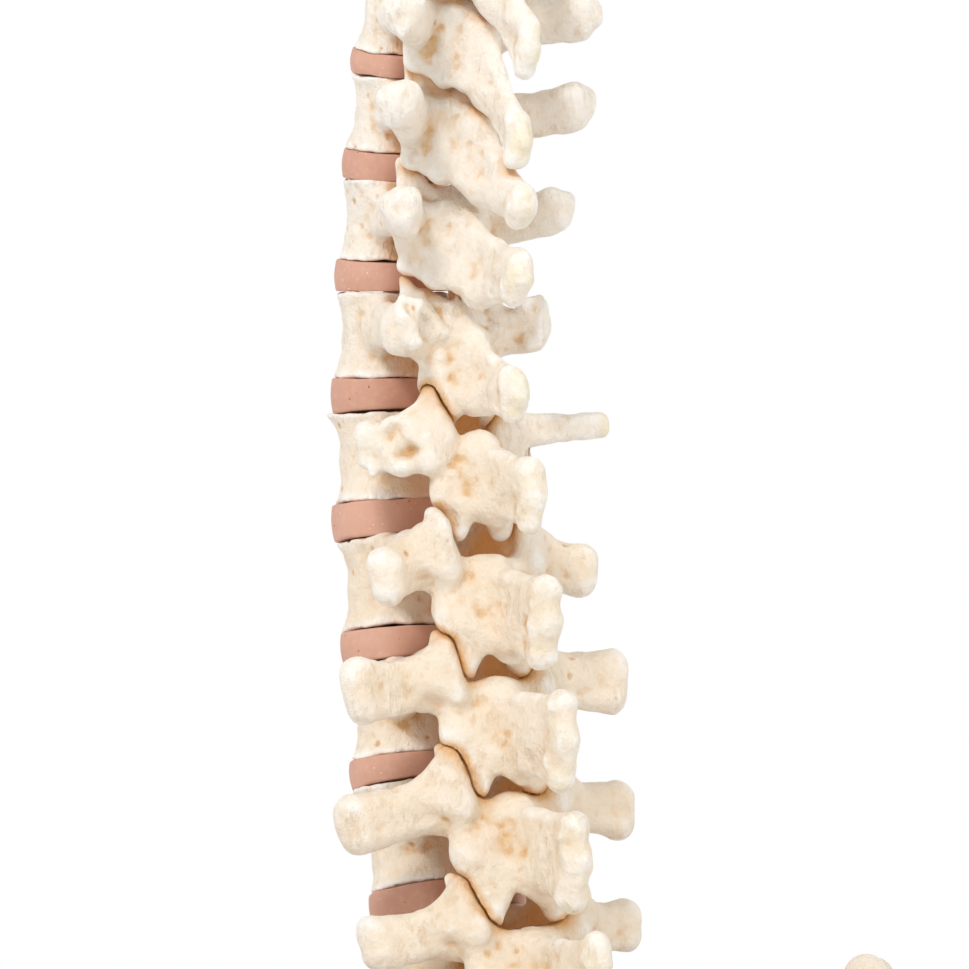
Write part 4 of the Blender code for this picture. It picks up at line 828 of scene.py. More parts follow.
def make_coccyx():
    field = Field((-14, 8, -118), (14, 44, -80), MEDIUM, 12)
    beads = [(0, 32.5, -89, 5.2), (0, 31.0, -95, 4.7), (0, 27, -102, 4.2), (0, 21, -108, 3.5),
             (0, 16, -111, 2.8)]
    for lower, upper in zip(beads[1:], beads[:-1]):
        field.bar(lower, upper, soft=2.0)
    both(field.bar, (3, 32, -93, 4.0), (8, 33, -92, 2.3), soft=2.0)
    field.roughen((4.0, 0.25))
    field.cut_plane((0, 0, SACRUM_END - JOINT_GAP), (0, 0, 1))
    item = field.mesh("bone_coccyx", PELVIS)
    return finish_bone(item, "pelvis", "coccyx")


def hip_field(mirror, seed):
    """Wing, socket and the two rami of one hip bone."""
    field = Field((0, -96, -152), (136, 72, 56), COARSE, seed)
    plates = [
        [(78, -22, -62, 8), (117, -60, -10, 4.2), (125.5, -34, 22, 4.2)],
        [(78, -18, -58, 8), (125.5, -34, 22, 4.2), (117, -2, 42, 4.2)],
        [(74, -8, -50, 8), (118, -2, 42, 4.2), (96, 24, 44, 4.2)],
        [(70, 2, -46, 8), (96, 24, 44, 4.2), (70, 44, 26, 4.8)],
        [(64, 10, -44, 8), (70, 44, 26, 4.8), (52, 54, -4, 6)],
        [(64, 10, -44, 8), (52, 54, -4, 6), (50, 50, -30, 6)],
        [(66, 2, -56, 9), (52, 46, -32, 6), (62, 20, -52, 7)],
        [(118, -60, -10, 4.2), (108, -62, -26, 5), (88, -42, -62, 8)],
        [(84, -30, -50, 8), (74, -4, -52, 10), (90, -38, -20, 5)],
        [(74, -4, -52, 10), (90, -38, -20, 5), (100, -36, -8, 5)],
        [(30, -82, -82, 6), (6, -85.6, -86, 6.5), (6, -84, -102, 6)],
        [(6, -84, -102, 6), (14, -72, -118, 5.5), (34, -42, -134, 5.5)],
    ]
    for balls in plates:
        field.plate(*balls, soft=6.0)
    crest = [(118, -60, -10, 4.6), (124.6, -44, 12, 4.2), (125.8, -30, 26, 4.4), (124, -14, 37, 4.8),
             (114, 4, 43.6, 4.8),
             (98, 22, 44.2, 4.6), (82, 36, 36, 4.8), (68, 46, 24, 5.4), (58, 52.5, 9, 6.0), (52, 53.8, -4, 6.2)]
    for a, b in zip(crest[1:], crest[:-1]):
        field.bar(a, b, soft=3.5)
    field.solid((48, 10, -14, 6), (48, 40, -18, 8), (46, 30, -42, 6), (62, 20, -40, 8), (64, 24, -10, 5),
                soft=5.0)
    field.solid((88, -30, -72, 15), (82, -26, -84, 17), (90, -32, -90, 13), soft=5.0)
    field.solid((74, -14, -92, 11), (64, 4, -118, 10), (60, 4, -131.5, 9.5), soft=5.0)
    field.bar((66, 6, -90, 7), (54, 18, -88, 3.4), soft=5.0)
    field.bar((60, 0, -136, 8.6), (34, -42, -134, 5.2), soft=5.0)
    field.bar((76, -42, -80, 9), (30, -82, -82, 5.8), soft=5.0)
    field.ball((30, -84, -79), (4, 4, 4), soft=3.0)
    field.ball((101, -37, -82), (21, 21, 21), soft=2.5, carve=True)
    field.ball((93, -32, -78), (9, 9, 9), soft=2.0, carve=True)
    field.roughen((16.0, 0.6), (7.0, 0.35), (3.4, 0.14))
    x, y, z = field.grid()
    joint = np.maximum(x - SACROILIAC_PLANE - JOINT_GAP, np.maximum(-50 - y, -60 - z)).astype(np.float32)
    field.value = np.maximum(field.value, -joint)
    pubis = np.maximum(x - SYMPHYSIS_HALF - JOINT_GAP, y + 60).astype(np.float32)
    field.value = np.maximum(field.value, -pubis)
    carve_tube(field, (40, 24, -28), (80, 24, -28), SCREW_RADIUS + JOINT_GAP)
    carve_tube(field, (SACROILIAC_PLANE + SCREW_SEAT - JOINT_GAP, 24, -28), (90, 24, -28),
               SCREW_HEAD_RADIUS + 1.5)
    if mirror < 0:
        field.value = field.value[::-1].copy()
        field.low[0] = -field.low[0] - field.cell * (field.value.shape[0] - 1)
        field.axes[0] = (field.low[0] + field.cell * np.arange(field.value.shape[0])).astype(np.float32)
    return field


def make_hip(name, mirror, seed):
    item = hip_field(mirror, seed).mesh("bone_" + name, PELVIS)
    return finish_bone(item, "pelvis", name)


# ---- turned and lofted pieces -------------------------------------------------------------------------

def mesh_object(name, points, faces, matrix):
    """Smooth-shaded object with points in millimetres."""
    mesh = bpy.data.meshes.new(name)
    mesh.from_pydata(in_world(np.asarray(points, float), matrix).tolist(), [], faces)
    mesh.polygons.foreach_set("use_smooth", np.ones(len(mesh.polygons), bool))
    mesh.update()
    item = bpy.data.objects.new(name, mesh)
    bpy.context.scene.collection.objects.link(item)
    return item


def loop_grid(rows, columns, closed_rows):
    """Quads between rows of points, with every row closed on itself."""
    faces = []
    count = rows if closed_rows else rows - 1
    for i in range(count):
        j = (i + 1) % rows
        for k in range(columns):
            m = (k + 1) % columns
            faces.append((i * columns + k, i * columns + m, j * columns + m, j * columns + k))
    return faces


def turned(name, profile, matrix, segments=64):
    """Solid of revolution about Z.  The profile is (radius, z), from the bottom axis to the top axis."""
    angles = 2 * pi * np.arange(segments) / segments
    points = [(radius * cos(a), radius * sin(a), z) for radius, z in profile for a in angles]
    faces = loop_grid(len(profile), segments, False)
    faces.append(tuple(range(segments))[::-1])
    last = (len(profile) - 1) * segments
    faces.append(tuple(range(last, last + segments)))
    item = mesh_object(name, points, faces, matrix)
    item.data.set_sharp_from_angle(angle=radians(40))
    return item


def tube(name, path, radius, matrix, segments=20, closed=False):
    """Round bar along a path of points in the plane x = 0 or any smooth space curve."""
    path = [Vector(p) for p in path]
    points = []
    count = len(path)
    side = Vector((1, 0, 0))
    for i, p in enumerate(path):
        ahead = path[(i + 1) % count] if closed or i < count - 1 else p
        behind = path[i - 1] if closed or i > 0 else p
        way = (ahead - behind).normalized()
        across = way.cross(side).normalized()
        for k in range(segments):
            a = 2 * pi * k / segments
            points.append(p + (side * cos(a) + across * sin(a)) * radius)
    faces = loop_grid(count, segments, closed)
    if not closed:
        faces.append(tuple(range(segments))[::-1])
        faces.append(tuple(range((count - 1) * segments, count * segments)))
    item = mesh_object(name, [tuple(p) for p in points], faces, matrix)
    face_out(item)
    return item


def face_out(item):
    """Turn the faces outwards."""
    shape = bmesh.new()
    shape.from_mesh(item.data)
    bmesh.ops.recalc_face_normals(shape, faces=shape.faces[:])
    shape.to_mesh(item.data)
    shape.free()


def outline(angle, width, depth, grow=0.0):
    """Kidney outline of a body or a disc."""
    x, y = cos(angle), sin(angle)
    if y > 0:
        y *= 0.9 - 0.12 * (1.0 - abs(x)) ** 2
    return (width / 2 + grow) * x, (depth / 2 + grow) * y


DISC_EDGE = -0.1               # space between a disc and the flat of an endplate, which is itself drawn in
DISC_SIDES = 128


def disc_profile(layer):
    """Closed loop (share of the way out, share of the height) of one layer of a disc."""
    cap = [0.0, 0.25, 0.5, 0.75, 0.9]
    if layer == "middle":
        wall = [(0.955, 0.16), (0.98, 0.2), (0.985, 0.28), (0.985, 0.5), (0.985, 0.72), (0.98, 0.8),
                (0.955, 0.84)]
        return [(s, 0.16) for s in cap] + wall + [(s, 0.84) for s in cap[::-1]]
    wall = [0.0, 0.012, 0.035, 0.08, 0.15, 0.25, 0.36, 0.44, 0.5]
    outward = [0.955, 0.985, 0.997, 1.0, 1.0, 1.0, 1.0, 1.0, 1.0]
    profile = [(s, 0.0) for s in cap] + list(zip(outward, wall)) + [(s, 0.5) for s in cap[::-1]]
    return profile if layer == "lower" else [(s, 1.0 - t) for s, t in profile]


def make_disc_layer(level, layer, random):
    """Lower and upper layer stay on their bones. The middle one fills the crease that a bend opens between them."""
    bone = level["bone"]
    matrix = place(level["disc"], level["middle"])
    local = matrix.inverted()
    lower = matrix @ Matrix.Translation((0, 0, -bone.disc / 2 * MM))
    upper = matrix @ Matrix.Translation((0, 0, bone.disc / 2 * MM))
    lower = Matrix.Translation(lower.translation) @ lean(level["lower_tilt"]).to_4x4()
    upper = Matrix.Translation(upper.translation) @ lean(bone.tilt).to_4x4()
    angles = 2 * pi * np.arange(DISC_SIDES) / DISC_SIDES
    waves = sum(random[0][n] * np.sin((n + 2) * angles + random[1][n]) for n in range(6))
    ripple = sum(random[2][n] * np.sin((n + 3) * angles + random[3][n]) for n in range(6))
    points = []
    for s, t in disc_profile(layer):
        for k, angle in enumerate(angles):
            bulge = 0.55 * sin(pi * t) * s ** 4
            x, y = outline(angle, bone.width, bone.depth, -0.25 + bulge + 0.25 * waves[k] * s ** 3)
            start = (BORE * cos(angle), BORE * sin(angle))
            flat = ((start[0] + (x - start[0]) * s), (start[1] + (y - start[1]) * s))
            edge = DISC_EDGE + 0.1 * max(0.0, ripple[k]) * s ** 3
            low = local @ (lower @ Vector((flat[0] * MM, flat[1] * MM, edge * MM)))
            high = local @ (upper @ Vector((flat[0] * MM, flat[1] * MM, -edge * MM)))
            points.append(tuple((low * (1.0 - t) + high * t) / MM))
    faces = loop_grid(len(disc_profile(layer)), DISC_SIDES, True)
    item = mesh_object("disc_" + level["label"] + "_" + layer, points, faces, matrix)
    face_out(item)
    item.data.set_sharp_from_angle(angle=radians(50))
    item.data.materials.append(DISC_MATERIAL)
    node = "disc_" + level["label"]
    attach(item, {"lower": level["below_body"], "middle": node, "upper": "vertebra_" + bone.name}[layer])
    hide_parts(node)
    return item


def make_discs(levels):
    random = np.random.RandomState(5)
    for level in levels:
        noise = [random.uniform(-1, 1, 6), random.uniform(0, 6.28, 6), random.uniform(-1, 1, 6),
                 random.uniform(0, 6.28, 6)]
        for layer in ("lower", "middle", "upper"):
            make_disc_layer(level, layer, noise)


def make_core(levels):
    """Stranded core in lengths from the middle of one disc to the middle of the next."""
    slope = lean(SACRAL_SLOPE + PELVIC_TILT)
    pieces = [("core_pelvis", "pelvis", [SACRUM_TOP - slope @ Vector((0, 0, CORE_DEPTH_IN_SACRUM)), SACRUM_TOP,
                                         levels[0]["disc"]])]
    for i, level in enumerate(levels):
        end = levels[i + 1]["disc"] if i + 1 < len(levels) else None
        path = [level["disc"], level["centre"]] + ([end] if end else [])
        pieces.append(("core_" + level["bone"].name, "vertebra_" + level["bone"].name, path))
    for name, body, path in pieces:
        fine = []
        for a, b in zip(path[:-1], path[1:]):
            fine += [a.lerp(b, t / 12.0) for t in range(12)]
        fine.append(path[-1])
        item = tube(name, fine, CORE_RADIUS - 0.05, Matrix.Scale(1.0, 4), 24)
        item.data.materials.append(CORE_MATERIAL)
        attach(item, body)
        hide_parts("flexible_core")


# ---- fittings -----------------------------------------------------------------------------------------

EYE_WIRE = 1.9
EYE_RADIUS = 7.0
EYE_RISE = 11.0
EYE_SHANK_DEPTH = 22.0
WASHER_RADIUS = 5.6
WASHER_HEIGHT = 1.2


def finish_fitting(item, body, node):
    item.data.materials.append(STEEL_MATERIAL)
    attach(item, body)
    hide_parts(node)


def make_spigot():
    r, length = SPIGOT_RADIUS, SPIGOT_LENGTH
    profile = [(r - 1.0, 0.0), (r - 0.3, 0.3), (r, 1.0)]
    for z in (4.0, 7.0, 10.0):
        profile += [(r, z), (r - 0.5, z + 0.4), (r - 0.5, z + 0.9), (r, z + 1.3)]
    profile += [(r, length - 1.0), (r - 0.3, length - 0.3), (r - 1.0, length)]
    finish_fitting(turned("spigot", profile, Matrix.Scale(1.0, 4), 96), "pelvis", "stand_spigot")


def make_screw(name, side):
    """Pan-head screw with a round recess in its head."""
    matrix = PELVIS @ Matrix.Translation(Vector((side * SACROILIAC_PLANE, 24, -28)) * MM)
    matrix = matrix @ Matrix.Rotation(side * pi / 2.0, 4, "Y")
    seat, head, radius = SCREW_SEAT, 4.0, SCREW_HEAD_RADIUS
    profile = [(SCREW_RADIUS - 0.8, -16.0), (SCREW_RADIUS - 0.1, -15.0)]
    for k in range(20):
        z = -14.6 + k * 1.3
        profile += [(SCREW_RADIUS - 0.05, z), (SCREW_RADIUS - 0.45, z + 0.65)]
    profile += [(SCREW_RADIUS, seat - 2.6), (SCREW_RADIUS, seat), (radius - 0.3, seat), (radius, seat + 0.3),
                (radius - 0.1, seat + 1.4), (radius - 0.8, seat + 2.9), (radius - 2.0, seat + head - 0.3),
                (2.4, seat + head), (2.0, seat + head - 0.1), (1.6, seat + head - 1.2), (0.6,
                                                                                         seat + head - 1.8)]
    finish_fitting(turned("screw_" + name, profile, matrix, 48), "pelvis", "sacroiliac_screw_" + name)


def make_eye(level):
    tilt = level["bone"].tilt
    top = level["centre"] + lean(tilt) @ Vector((0, DENS_BACK, DENS_TOP))
    matrix = place(top, tilt)
    ring = [(WASHER_RADIUS - 0.3, JOINT_GAP), (WASHER_RADIUS, JOINT_GAP + 0.3),
            (WASHER_RADIUS, JOINT_GAP + WASHER_HEIGHT - 0.3), (WASHER_RADIUS - 0.3, JOINT_GAP + WASHER_HEIGHT),
            (EYE_WIRE + 0.7, JOINT_GAP + WASHER_HEIGHT), (EYE_WIRE + JOINT_GAP,
                                                          JOINT_GAP + WASHER_HEIGHT - 0.3),
            (EYE_WIRE + JOINT_GAP, JOINT_GAP + 0.3), (EYE_WIRE + 0.7, JOINT_GAP)]
    angles = 2 * pi * np.arange(64) / 64
    points = [(r * cos(a), r * sin(a), z) for r, z in ring for a in angles]
    washer = mesh_object("washer", points, loop_grid(len(ring), 64, True), matrix)
    face_out(washer)
    washer.data.set_sharp_from_angle(angle=radians(40))
    finish_fitting(washer, "vertebra_C2", "core_washer")
    seat = WASHER_HEIGHT + 2.0 * JOINT_GAP
    centre = seat + EYE_RISE
    turns = [2 * pi * k / 72 for k in range(72)]
    loop = [(0, EYE_RADIUS * sin(a), centre - EYE_RADIUS * cos(a)) for a in turns]
    field = Field((-5, -11, -EYE_SHANK_DEPTH - 3), (5, 11, centre + 11), 0.35, 3)
    for a, b in zip(loop, loop[1:] + loop[:1]):
        field.bar((*a, EYE_WIRE), (*b, EYE_WIRE), soft=0.05)
    field.bar((0, 0, -EYE_SHANK_DEPTH, EYE_WIRE - 0.1), (0, 0, centre - EYE_RADIUS, EYE_WIRE - 0.1), soft=1.0)
    field.bar((0, 0, seat + 0.4, 3.2), (0, 0, seat + 1.8, 2.6), soft=0.6)
    x, y, z = field.grid()
    thread = EYE_WIRE - 0.12 + 0.14 * np.sin(2 * pi * z / 1.4 + np.arctan2(y, x))
    rod = np.maximum(np.sqrt(x ** 2 + y ** 2) - thread, np.maximum(z - seat, -EYE_SHANK_DEPTH - z))
    field.value = np.where(z < seat, rod, field.value).astype(np.float32)
    field.value -= SKIN
    eye = field.mesh("eye", matrix)
    finish_fitting(eye, "vertebra_C2", "hanging_eye")


def make_symphysis():
    """Soft oval pad between the pubic bones."""
    matrix = PELVIS @ Matrix.Translation(Vector((0, -85.5, -93)) * MM) @ lean(-10).to_4x4()
    matrix = matrix @ Matrix.Rotation(pi / 2.0, 4, "Y")
    half = SYMPHYSIS_HALF
    profile = [(0.86, -half), (0.94, -half + 0.15), (0.985, -half + 0.6), (1.0, -half + 1.6), (1.0, half - 1.6),
               (0.985, half - 0.6), (0.94, half - 0.15), (0.86, half)]
    angles = 2 * pi * np.arange(72) / 72
    points = []
    for scale, z in profile:
        for a in angles:
            wave = 1.0 + 0.012 * sin(3 * a + 1.0) + 0.01 * sin(5 * a + z)
            points.append((15.0 * scale * cos(a) * wave * 0.985, 6.5 * scale * sin(a) * wave * 0.985, z))
    faces = loop_grid(len(profile), 72, False)
    faces += [tuple(range(72))[::-1], tuple(range(7 * 72, 8 * 72))]
    item = mesh_object("pubic_pad", points, faces, matrix)
    face_out(item)
    item.data.set_sharp_from_angle(angle=radians(60))
    item.data.materials.append(DISC_MATERIAL)
    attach(item, "pelvis")
    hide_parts("pubic_symphysis")


# ---- materials ----------------------------------------------------------------------------------------

class Nodes:
    """Short names for building a shader."""

    def __init__(self, name):
        self.material = bpy.data.materials.new(name)
        self.material.use_nodes = True
        self.tree = self.material.node_tree
        self.shader = self.tree.nodes["Principled BSDF"]
        self.place = self.tree.nodes.new("ShaderNodeTexCoord").outputs["Object"]

    def add(self, kind, **settings):
        node = self.tree.nodes.new(kind)
        for key, value in settings.items():
            setattr(node, key, value)
        return node

    def link(self, source, target):
        self.tree.links.new(source, target)

    def set(self, target, value):
        """Link a socket, or set a plain value."""
        if isinstance(value, bpy.types.NodeSocket):
            self.link(value, target)
        else:
            target.default_value = value

    def attribute(self, name):
        return self.add("ShaderNodeAttribute", attribute_name=name).outputs["Fac"]

    def noise(self, scale, detail=4.0, rough=0.55, stretch=None):
        node = self.add("ShaderNodeTexNoise")
        node.inputs["Scale"].default_value = scale
        node.inputs["Detail"].default_value = detail
        node.inputs["Roughness"].default_value = rough
        self.link(self.stretched(stretch), node.inputs["Vector"])
        return node.outputs["Fac"]

    def stretched(self, stretch):
        """Object coordinates, scaled along each axis."""
        if not stretch:
            return self.place
        node = self.add("ShaderNodeMapping")
        node.inputs["Scale"].default_value = stretch
        self.link(self.place, node.inputs["Vector"])
        return node.outputs["Vector"]

    def cells(self, scale, stretch=None):
        node = self.add("ShaderNodeTexVoronoi")
        node.inputs["Scale"].default_value = scale
        self.link(self.stretched(stretch), node.inputs["Vector"])
        return node.outputs["Distance"]

    def ramp(self, value, low, high):
        """Zero below low, one above high, smooth between."""
        node = self.add("ShaderNodeMapRange", interpolation_type="SMOOTHSTEP")
        node.inputs["From Min"].default_value = low
        node.inputs["From Max"].default_value = high
        self.link(value, node.inputs["Value"])
        return node.outputs["Result"]

    def math(self, operation, a, b):
        node = self.add("ShaderNodeMath", operation=operation)
        self.set(node.inputs[0], a)
        self.set(node.inputs[1], b)
        return node.outputs[0]

    def times(self, a, b):
        return self.math("MULTIPLY", a, b)

    def plus(self, a, b):
        return self.math("ADD", a, b)

    def minus(self, a, b):
        return self.math("SUBTRACT", a, b)

    def flip(self, value):
        """One minus the value."""
        return self.minus(1.0, value)

    def mix(self, factor, a, b):
        node = self.add("ShaderNodeMix", data_type="RGBA")
        self.set(node.inputs[0], factor)
        self.set(node.inputs[6], a)
        self.set(node.inputs[7], b)
        return node.outputs[2]

    def bump(self, height, distance, strength):
        node = self.add("ShaderNodeBump")
        node.inputs["Distance"].default_value = distance
        node.inputs["Strength"].default_value = strength
        self.link(height, node.inputs["Height"])
        return node.outputs["Normal"]


def make_bone_material():
    """Cast ivory resin: cream, whiter on ridges, ochre wash left in hollows and pores, painted shade in the canal
    and under overhanging bone.
    """
    n = Nodes("cast_bone")
    labels = ("hollow_small", "hollow_wide", "inner", "tip", "seam")
    small, wide, inner, tip, seam = (n.attribute(label) for label in labels)
    split = n.add("ShaderNodeSeparateXYZ")
    n.link(n.place, split.inputs[0])
    upper = n.ramp(split.outputs["Z"], 0.2, 0.34)
    ivory = n.mix(n.ramp(n.noise(70.0, 3.0), 0.3, 0.7), (0.86, 0.735, 0.58, 1), (0.91, 0.81, 0.68, 1))
    ivory = n.mix(n.times(upper, 0.7), ivory, (0.90, 0.85, 0.78, 1))
    ridge = n.math("MAXIMUM", n.ramp(n.times(wide, -1.0), 0.12, 0.34),
                   n.ramp(n.times(small, -1.0), 0.06, 0.2))
    pale = n.times(ridge, n.plus(n.times(n.ramp(n.noise(200.0, 4.0), 0.35, 0.6), 0.6), 0.4))
    color = n.mix(pale, ivory, (0.97, 0.94, 0.89, 1))
    # broad stain in hollows, then a sharper line of it in creases
    broken = n.ramp(n.noise(300.0, 6.0, 0.7), 0.36, 0.62)
    stain = n.times(n.ramp(wide, -0.04, 0.22), n.plus(n.times(broken, 0.7), 0.3))
    color = n.mix(n.times(stain, 0.75), color, (0.76, 0.49, 0.23, 1))
    crease = n.times(n.ramp(small, 0.012, 0.13), n.plus(n.times(broken, 0.6), 0.4))
    color = n.mix(n.times(crease, 0.8), color, (0.68, 0.36, 0.11, 1))
    # wash dried in patches and fine streaks, freckles and pores
    streaks = n.times(n.ramp(n.noise(330.0, 5.0, 0.65, stretch=(1.0, 1.0, 0.35)), 0.48, 0.68),
                     n.ramp(n.noise(75.0, 3.0), 0.4, 0.62))
    color = n.mix(n.times(streaks, 0.38), color, (0.76, 0.53, 0.30, 1))
    patches = n.ramp(n.noise(55.0, 4.0, 0.6), 0.46, 0.62)
    pores = n.flip(n.ramp(n.cells(800.0), 0.1, 0.36))
    speckle = n.times(n.times(patches, pores), n.ramp(n.noise(420.0, 2.0), 0.42, 0.58))
    color = n.mix(n.times(speckle, 0.22), color, (0.72, 0.42, 0.17, 1))
    tint = n.ramp(n.noise(130.0, 6.0, 0.72), 0.48, 0.72)
    color = n.mix(n.times(tint, 0.24), color, (0.84, 0.63, 0.38, 1))
    coarse = n.noise(420.0, 6.0, 0.65)
    low = n.flip(n.ramp(coarse, 0.34, 0.5))
    color = n.mix(n.times(low, 0.2), color, (0.80, 0.55, 0.3, 1))
    # ochre wash in the seams, together with painted shade under the bone above
    seam = n.times(seam, n.plus(n.times(broken, 0.25), 0.68))
    color = n.mix(seam, color, (0.74, 0.40, 0.13, 1))
    # painted shade inside the canal, and the ends of the spinous processes
    color = n.mix(n.times(inner, 0.95), color, (0.86, 0.45, 0.14, 1))
    yellow = n.times(tip, n.ramp(n.noise(150.0, 4.0), 0.4, 0.6))
    color = n.mix(n.times(yellow, 0.5), color, (0.86, 0.74, 0.46, 1))
    n.link(color, n.shader.inputs["Base Color"])
    gloss = n.plus(n.times(n.noise(300.0, 3.0), 0.2), 0.38)
    n.link(n.plus(gloss, n.times(crease, 0.2)), n.shader.inputs["Roughness"])
    n.shader.inputs["Specular IOR Level"].default_value = 0.42
    grain = n.noise(1300.0, 3.0, 0.6, stretch=(1.0, 1.0, 0.4))
    height = n.plus(n.times(grain, 0.3), coarse)
    height = n.minus(height, n.times(speckle, 0.12))
    height = n.minus(height, n.times(streaks, 0.35))
    n.link(n.bump(height, 0.0009, 0.9), n.shader.inputs["Normal"])
    return n.material


def make_disc_material():
    """Matte moulded rubber, terracotta, with fine pale specks and small pinholes."""
    n = Nodes("disc_rubber")
    base = n.mix(n.ramp(n.noise(60.0, 4.0), 0.3, 0.7), (0.60, 0.325, 0.235, 1), (0.68, 0.39, 0.29, 1))
    mottle = n.mix(n.times(n.ramp(n.noise(500.0, 4.0, 0.6), 0.45, 0.75), 0.4), base, (0.74, 0.47, 0.37, 1))
    pale = n.flip(n.ramp(n.cells(520.0), 0.06, 0.16))
    pale = n.times(pale, n.ramp(n.noise(180.0, 2.0), 0.5, 0.6))
    color = n.mix(n.times(pale, 0.7), mottle, (0.86, 0.72, 0.6, 1))
    holes = n.flip(n.ramp(n.cells(310.0, (1.3, 1.1, 0.9)), 0.05, 0.13))
    holes = n.times(holes, n.ramp(n.noise(90.0, 2.0), 0.52, 0.6))
    color = n.mix(n.times(holes, 0.75), color, (0.2, 0.07, 0.04, 1))
    n.link(color, n.shader.inputs["Base Color"])
    n.link(n.plus(n.times(n.noise(400.0), 0.2), 0.5), n.shader.inputs["Roughness"])
    n.shader.inputs["Specular IOR Level"].default_value = 0.3
    height = n.minus(n.noise(700.0, 4.0), n.times(holes, 1.5))
    n.link(n.bump(height, 0.00025, 0.4), n.shader.inputs["Normal"])
    return n.material


def make_steel_material(name, stretch, tint):
    """Turned steel with fine lines round it and faint dull patches."""
    n = Nodes(name)
    lines = n.noise(900.0, 3.0, 0.6, stretch=stretch)
    patches = n.ramp(n.noise(120.0, 4.0), 0.4, 0.7)
    color = n.mix(patches, tint, tuple(0.82 * c for c in tint[:3]) + (1,))
    n.link(color, n.shader.inputs["Base Color"])
    n.shader.inputs["Metallic"].default_value = 1.0
    rough = n.plus(n.times(lines, 0.2), n.times(patches, 0.12))
    n.link(n.plus(rough, 0.14), n.shader.inputs["Roughness"])
    n.link(n.bump(lines, 0.0001, 0.35), n.shader.inputs["Normal"])
    return n.material


def make_floor_material():
    n = Nodes("floor")
    tone = n.mix(n.ramp(n.noise(3.0, 3.0), 0.3, 0.7), (0.86, 0.855, 0.85, 1), (0.88, 0.875, 0.87, 1))
    n.link(tone, n.shader.inputs["Base Color"])
    n.shader.inputs["Roughness"].default_value = 0.6
    return n.material


# ---- studio -------------------------------------------------------------------------------------------

AZIMUTH = 147.0                # where the camera stands, from straight in front, round to the left side
ELEVATION = 2.0
VIEW_DISTANCE = 1.7
VIEW_SIZE = 0.259              # side of the square that the camera sees at the column
FLOOR_DROP = 0.02              # space between the floor and the lowest point, since a stand holds the column up
ASIDE = 0.0231
LOWER = 0.0074


def toward(azimuth, elevation):
    a, e = radians(azimuth), radians(elevation)
    return Vector((sin(a) * cos(e), -cos(a) * cos(e), sin(e)))


def aim(item, way):
    item.rotation_mode = "QUATERNION"
    item.rotation_quaternion = way.to_track_quat("Z", "Y")


def add_camera(centre):
    back = toward(AZIMUTH, ELEVATION)
    right = Vector((cos(radians(AZIMUTH)), sin(radians(AZIMUTH)), 0.0))
    data = bpy.data.cameras.new("camera")
    data.sensor_width = 36.0
    data.lens = data.sensor_width * VIEW_DISTANCE / VIEW_SIZE
    data.clip_start, data.clip_end = 0.05, 50.0
    camera = bpy.data.objects.new("camera", data)
    camera.location = centre + right * ASIDE - Vector((0, 0, LOWER)) + back * VIEW_DISTANCE
    aim(camera, back)
    bpy.context.scene.collection.objects.link(camera)
    bpy.context.scene.camera = camera


def add_light(name, centre, azimuth, elevation, size, power, color=(1, 1, 1)):
    way = toward(azimuth, elevation)
    data = bpy.data.lights.new(name, "AREA")
    data.size = size
    data.energy = power
    data.color = color
    light = bpy.data.objects.new(name, data)
    light.location = centre + way * 2.4
    aim(light, way)
    bpy.context.scene.collection.objects.link(light)


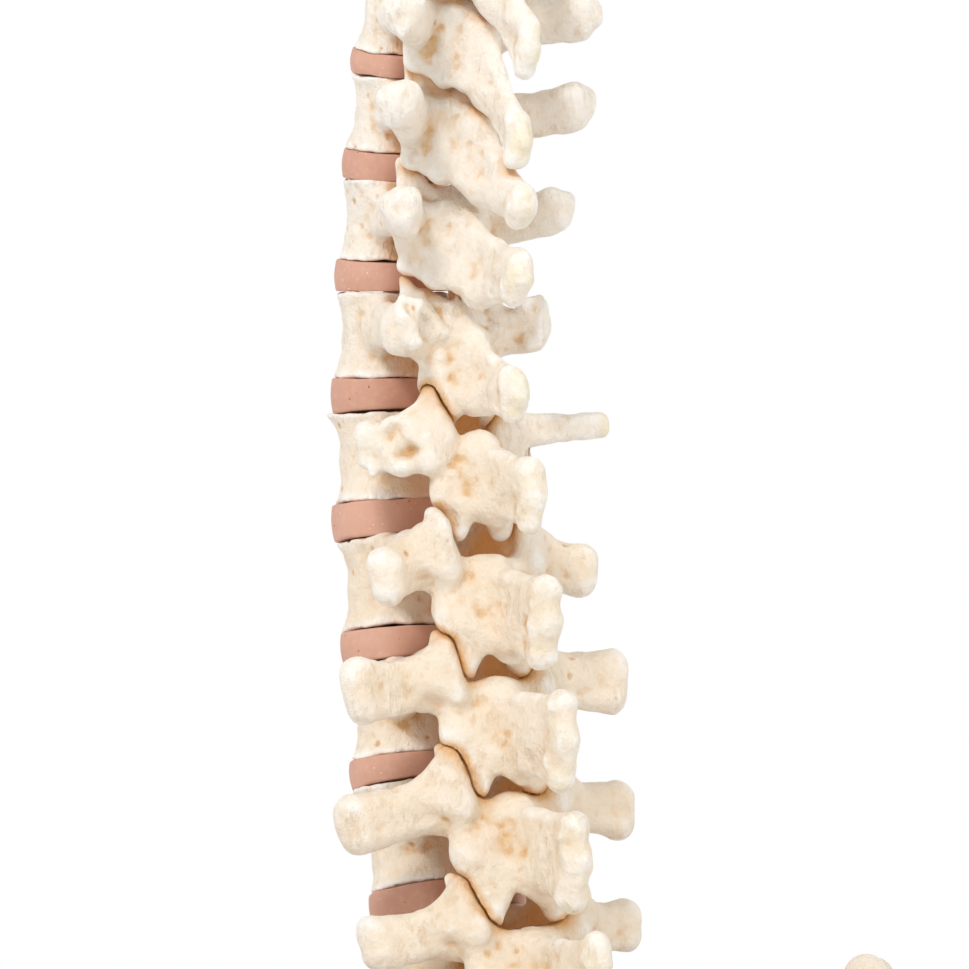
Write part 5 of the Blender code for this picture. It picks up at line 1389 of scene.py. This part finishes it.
def make_studio(centre):
    """Camera, pale fading world, two soft lights and a round floor."""
    add_camera(centre)
    world = bpy.data.worlds.new("studio")
    world.use_nodes = True
    background = world.node_tree.nodes["Background"]
    background.inputs["Color"].default_value = (1, 1, 1, 1)
    way = world.node_tree.nodes.new("ShaderNodeTexCoord").outputs["Generated"]
    split = world.node_tree.nodes.new("ShaderNodeSeparateXYZ")
    fade = world.node_tree.nodes.new("ShaderNodeMapRange")
    for name, value in (("From Min", 0.2), ("From Max", 0.6), ("To Min", 1.0), ("To Max", 0.6)):
        fade.inputs[name].default_value = value
    world.node_tree.links.new(way, split.inputs["Vector"])
    world.node_tree.links.new(split.outputs["Z"], fade.inputs["Value"])
    world.node_tree.links.new(fade.outputs["Result"], background.inputs["Strength"])
    bpy.context.scene.world = world
    add_light("key", centre, 126.0, 46.0, 0.5, 25.0, (1.0, 0.985, 0.96))
    add_light("rim", centre, 215.0, 30.0, 0.9, 7.0, (1.0, 0.94, 0.84))
    bpy.context.scene.view_settings.view_transform = "Standard"
    top = Matrix.Translation((0, 0, CAD_BOX[0][2] - FLOOR_DROP))
    shape = turned("floor", [(700.0, -12.0), (704.0, -11.0), (704.0, -1.5), (700.0, -0.05)], top, 128)
    shape.data.materials.append(make_floor_material())


# ---- everything ---------------------------------------------------------------------------------------

BONE_MATERIAL = make_bone_material()
DISC_MATERIAL = make_disc_material()
STEEL_MATERIAL = make_steel_material("turned_steel", (0.05, 0.05, 1.0), (0.66, 0.66, 0.64, 1))
CORE_MATERIAL = make_steel_material("core_steel", (0.3, 0.3, 1.0), (0.55, 0.55, 0.54, 1))


def make_everything():
    levels = stack()
    _, lower = make_sacrum()
    lower_matrix = PELVIS
    make_coccyx()
    make_hip("hip_left", 1, 21)
    make_hip("hip_right", -1, 22)
    make_symphysis()
    below = None
    for number, level in enumerate(levels):
        field, matrix = vertebra_field(level, 100 + number, lower, lower_matrix)
        if below:
            skin_vertebra(below, lower, lower_matrix, (field, matrix))
        below, lower, lower_matrix = level["bone"], field, matrix
    field, matrix = make_atlas(levels[-1])
    field.keep_clear(lower, lower_matrix, matrix, JOINT_LINE, -30)
    skin_vertebra(below, lower, lower_matrix, (field, matrix))
    finish_bone(field.mesh("bone_C1", matrix), "vertebra_C1", "vertebra_C1")
    make_discs(levels)
    make_core(levels)
    make_spigot()
    make_screw("left", 1)
    make_screw("right", -1)
    make_eye(levels[-1])
    make_studio(next(level["centre"] for level in levels if level["bone"].name == "T12") * MM)


make_everything()
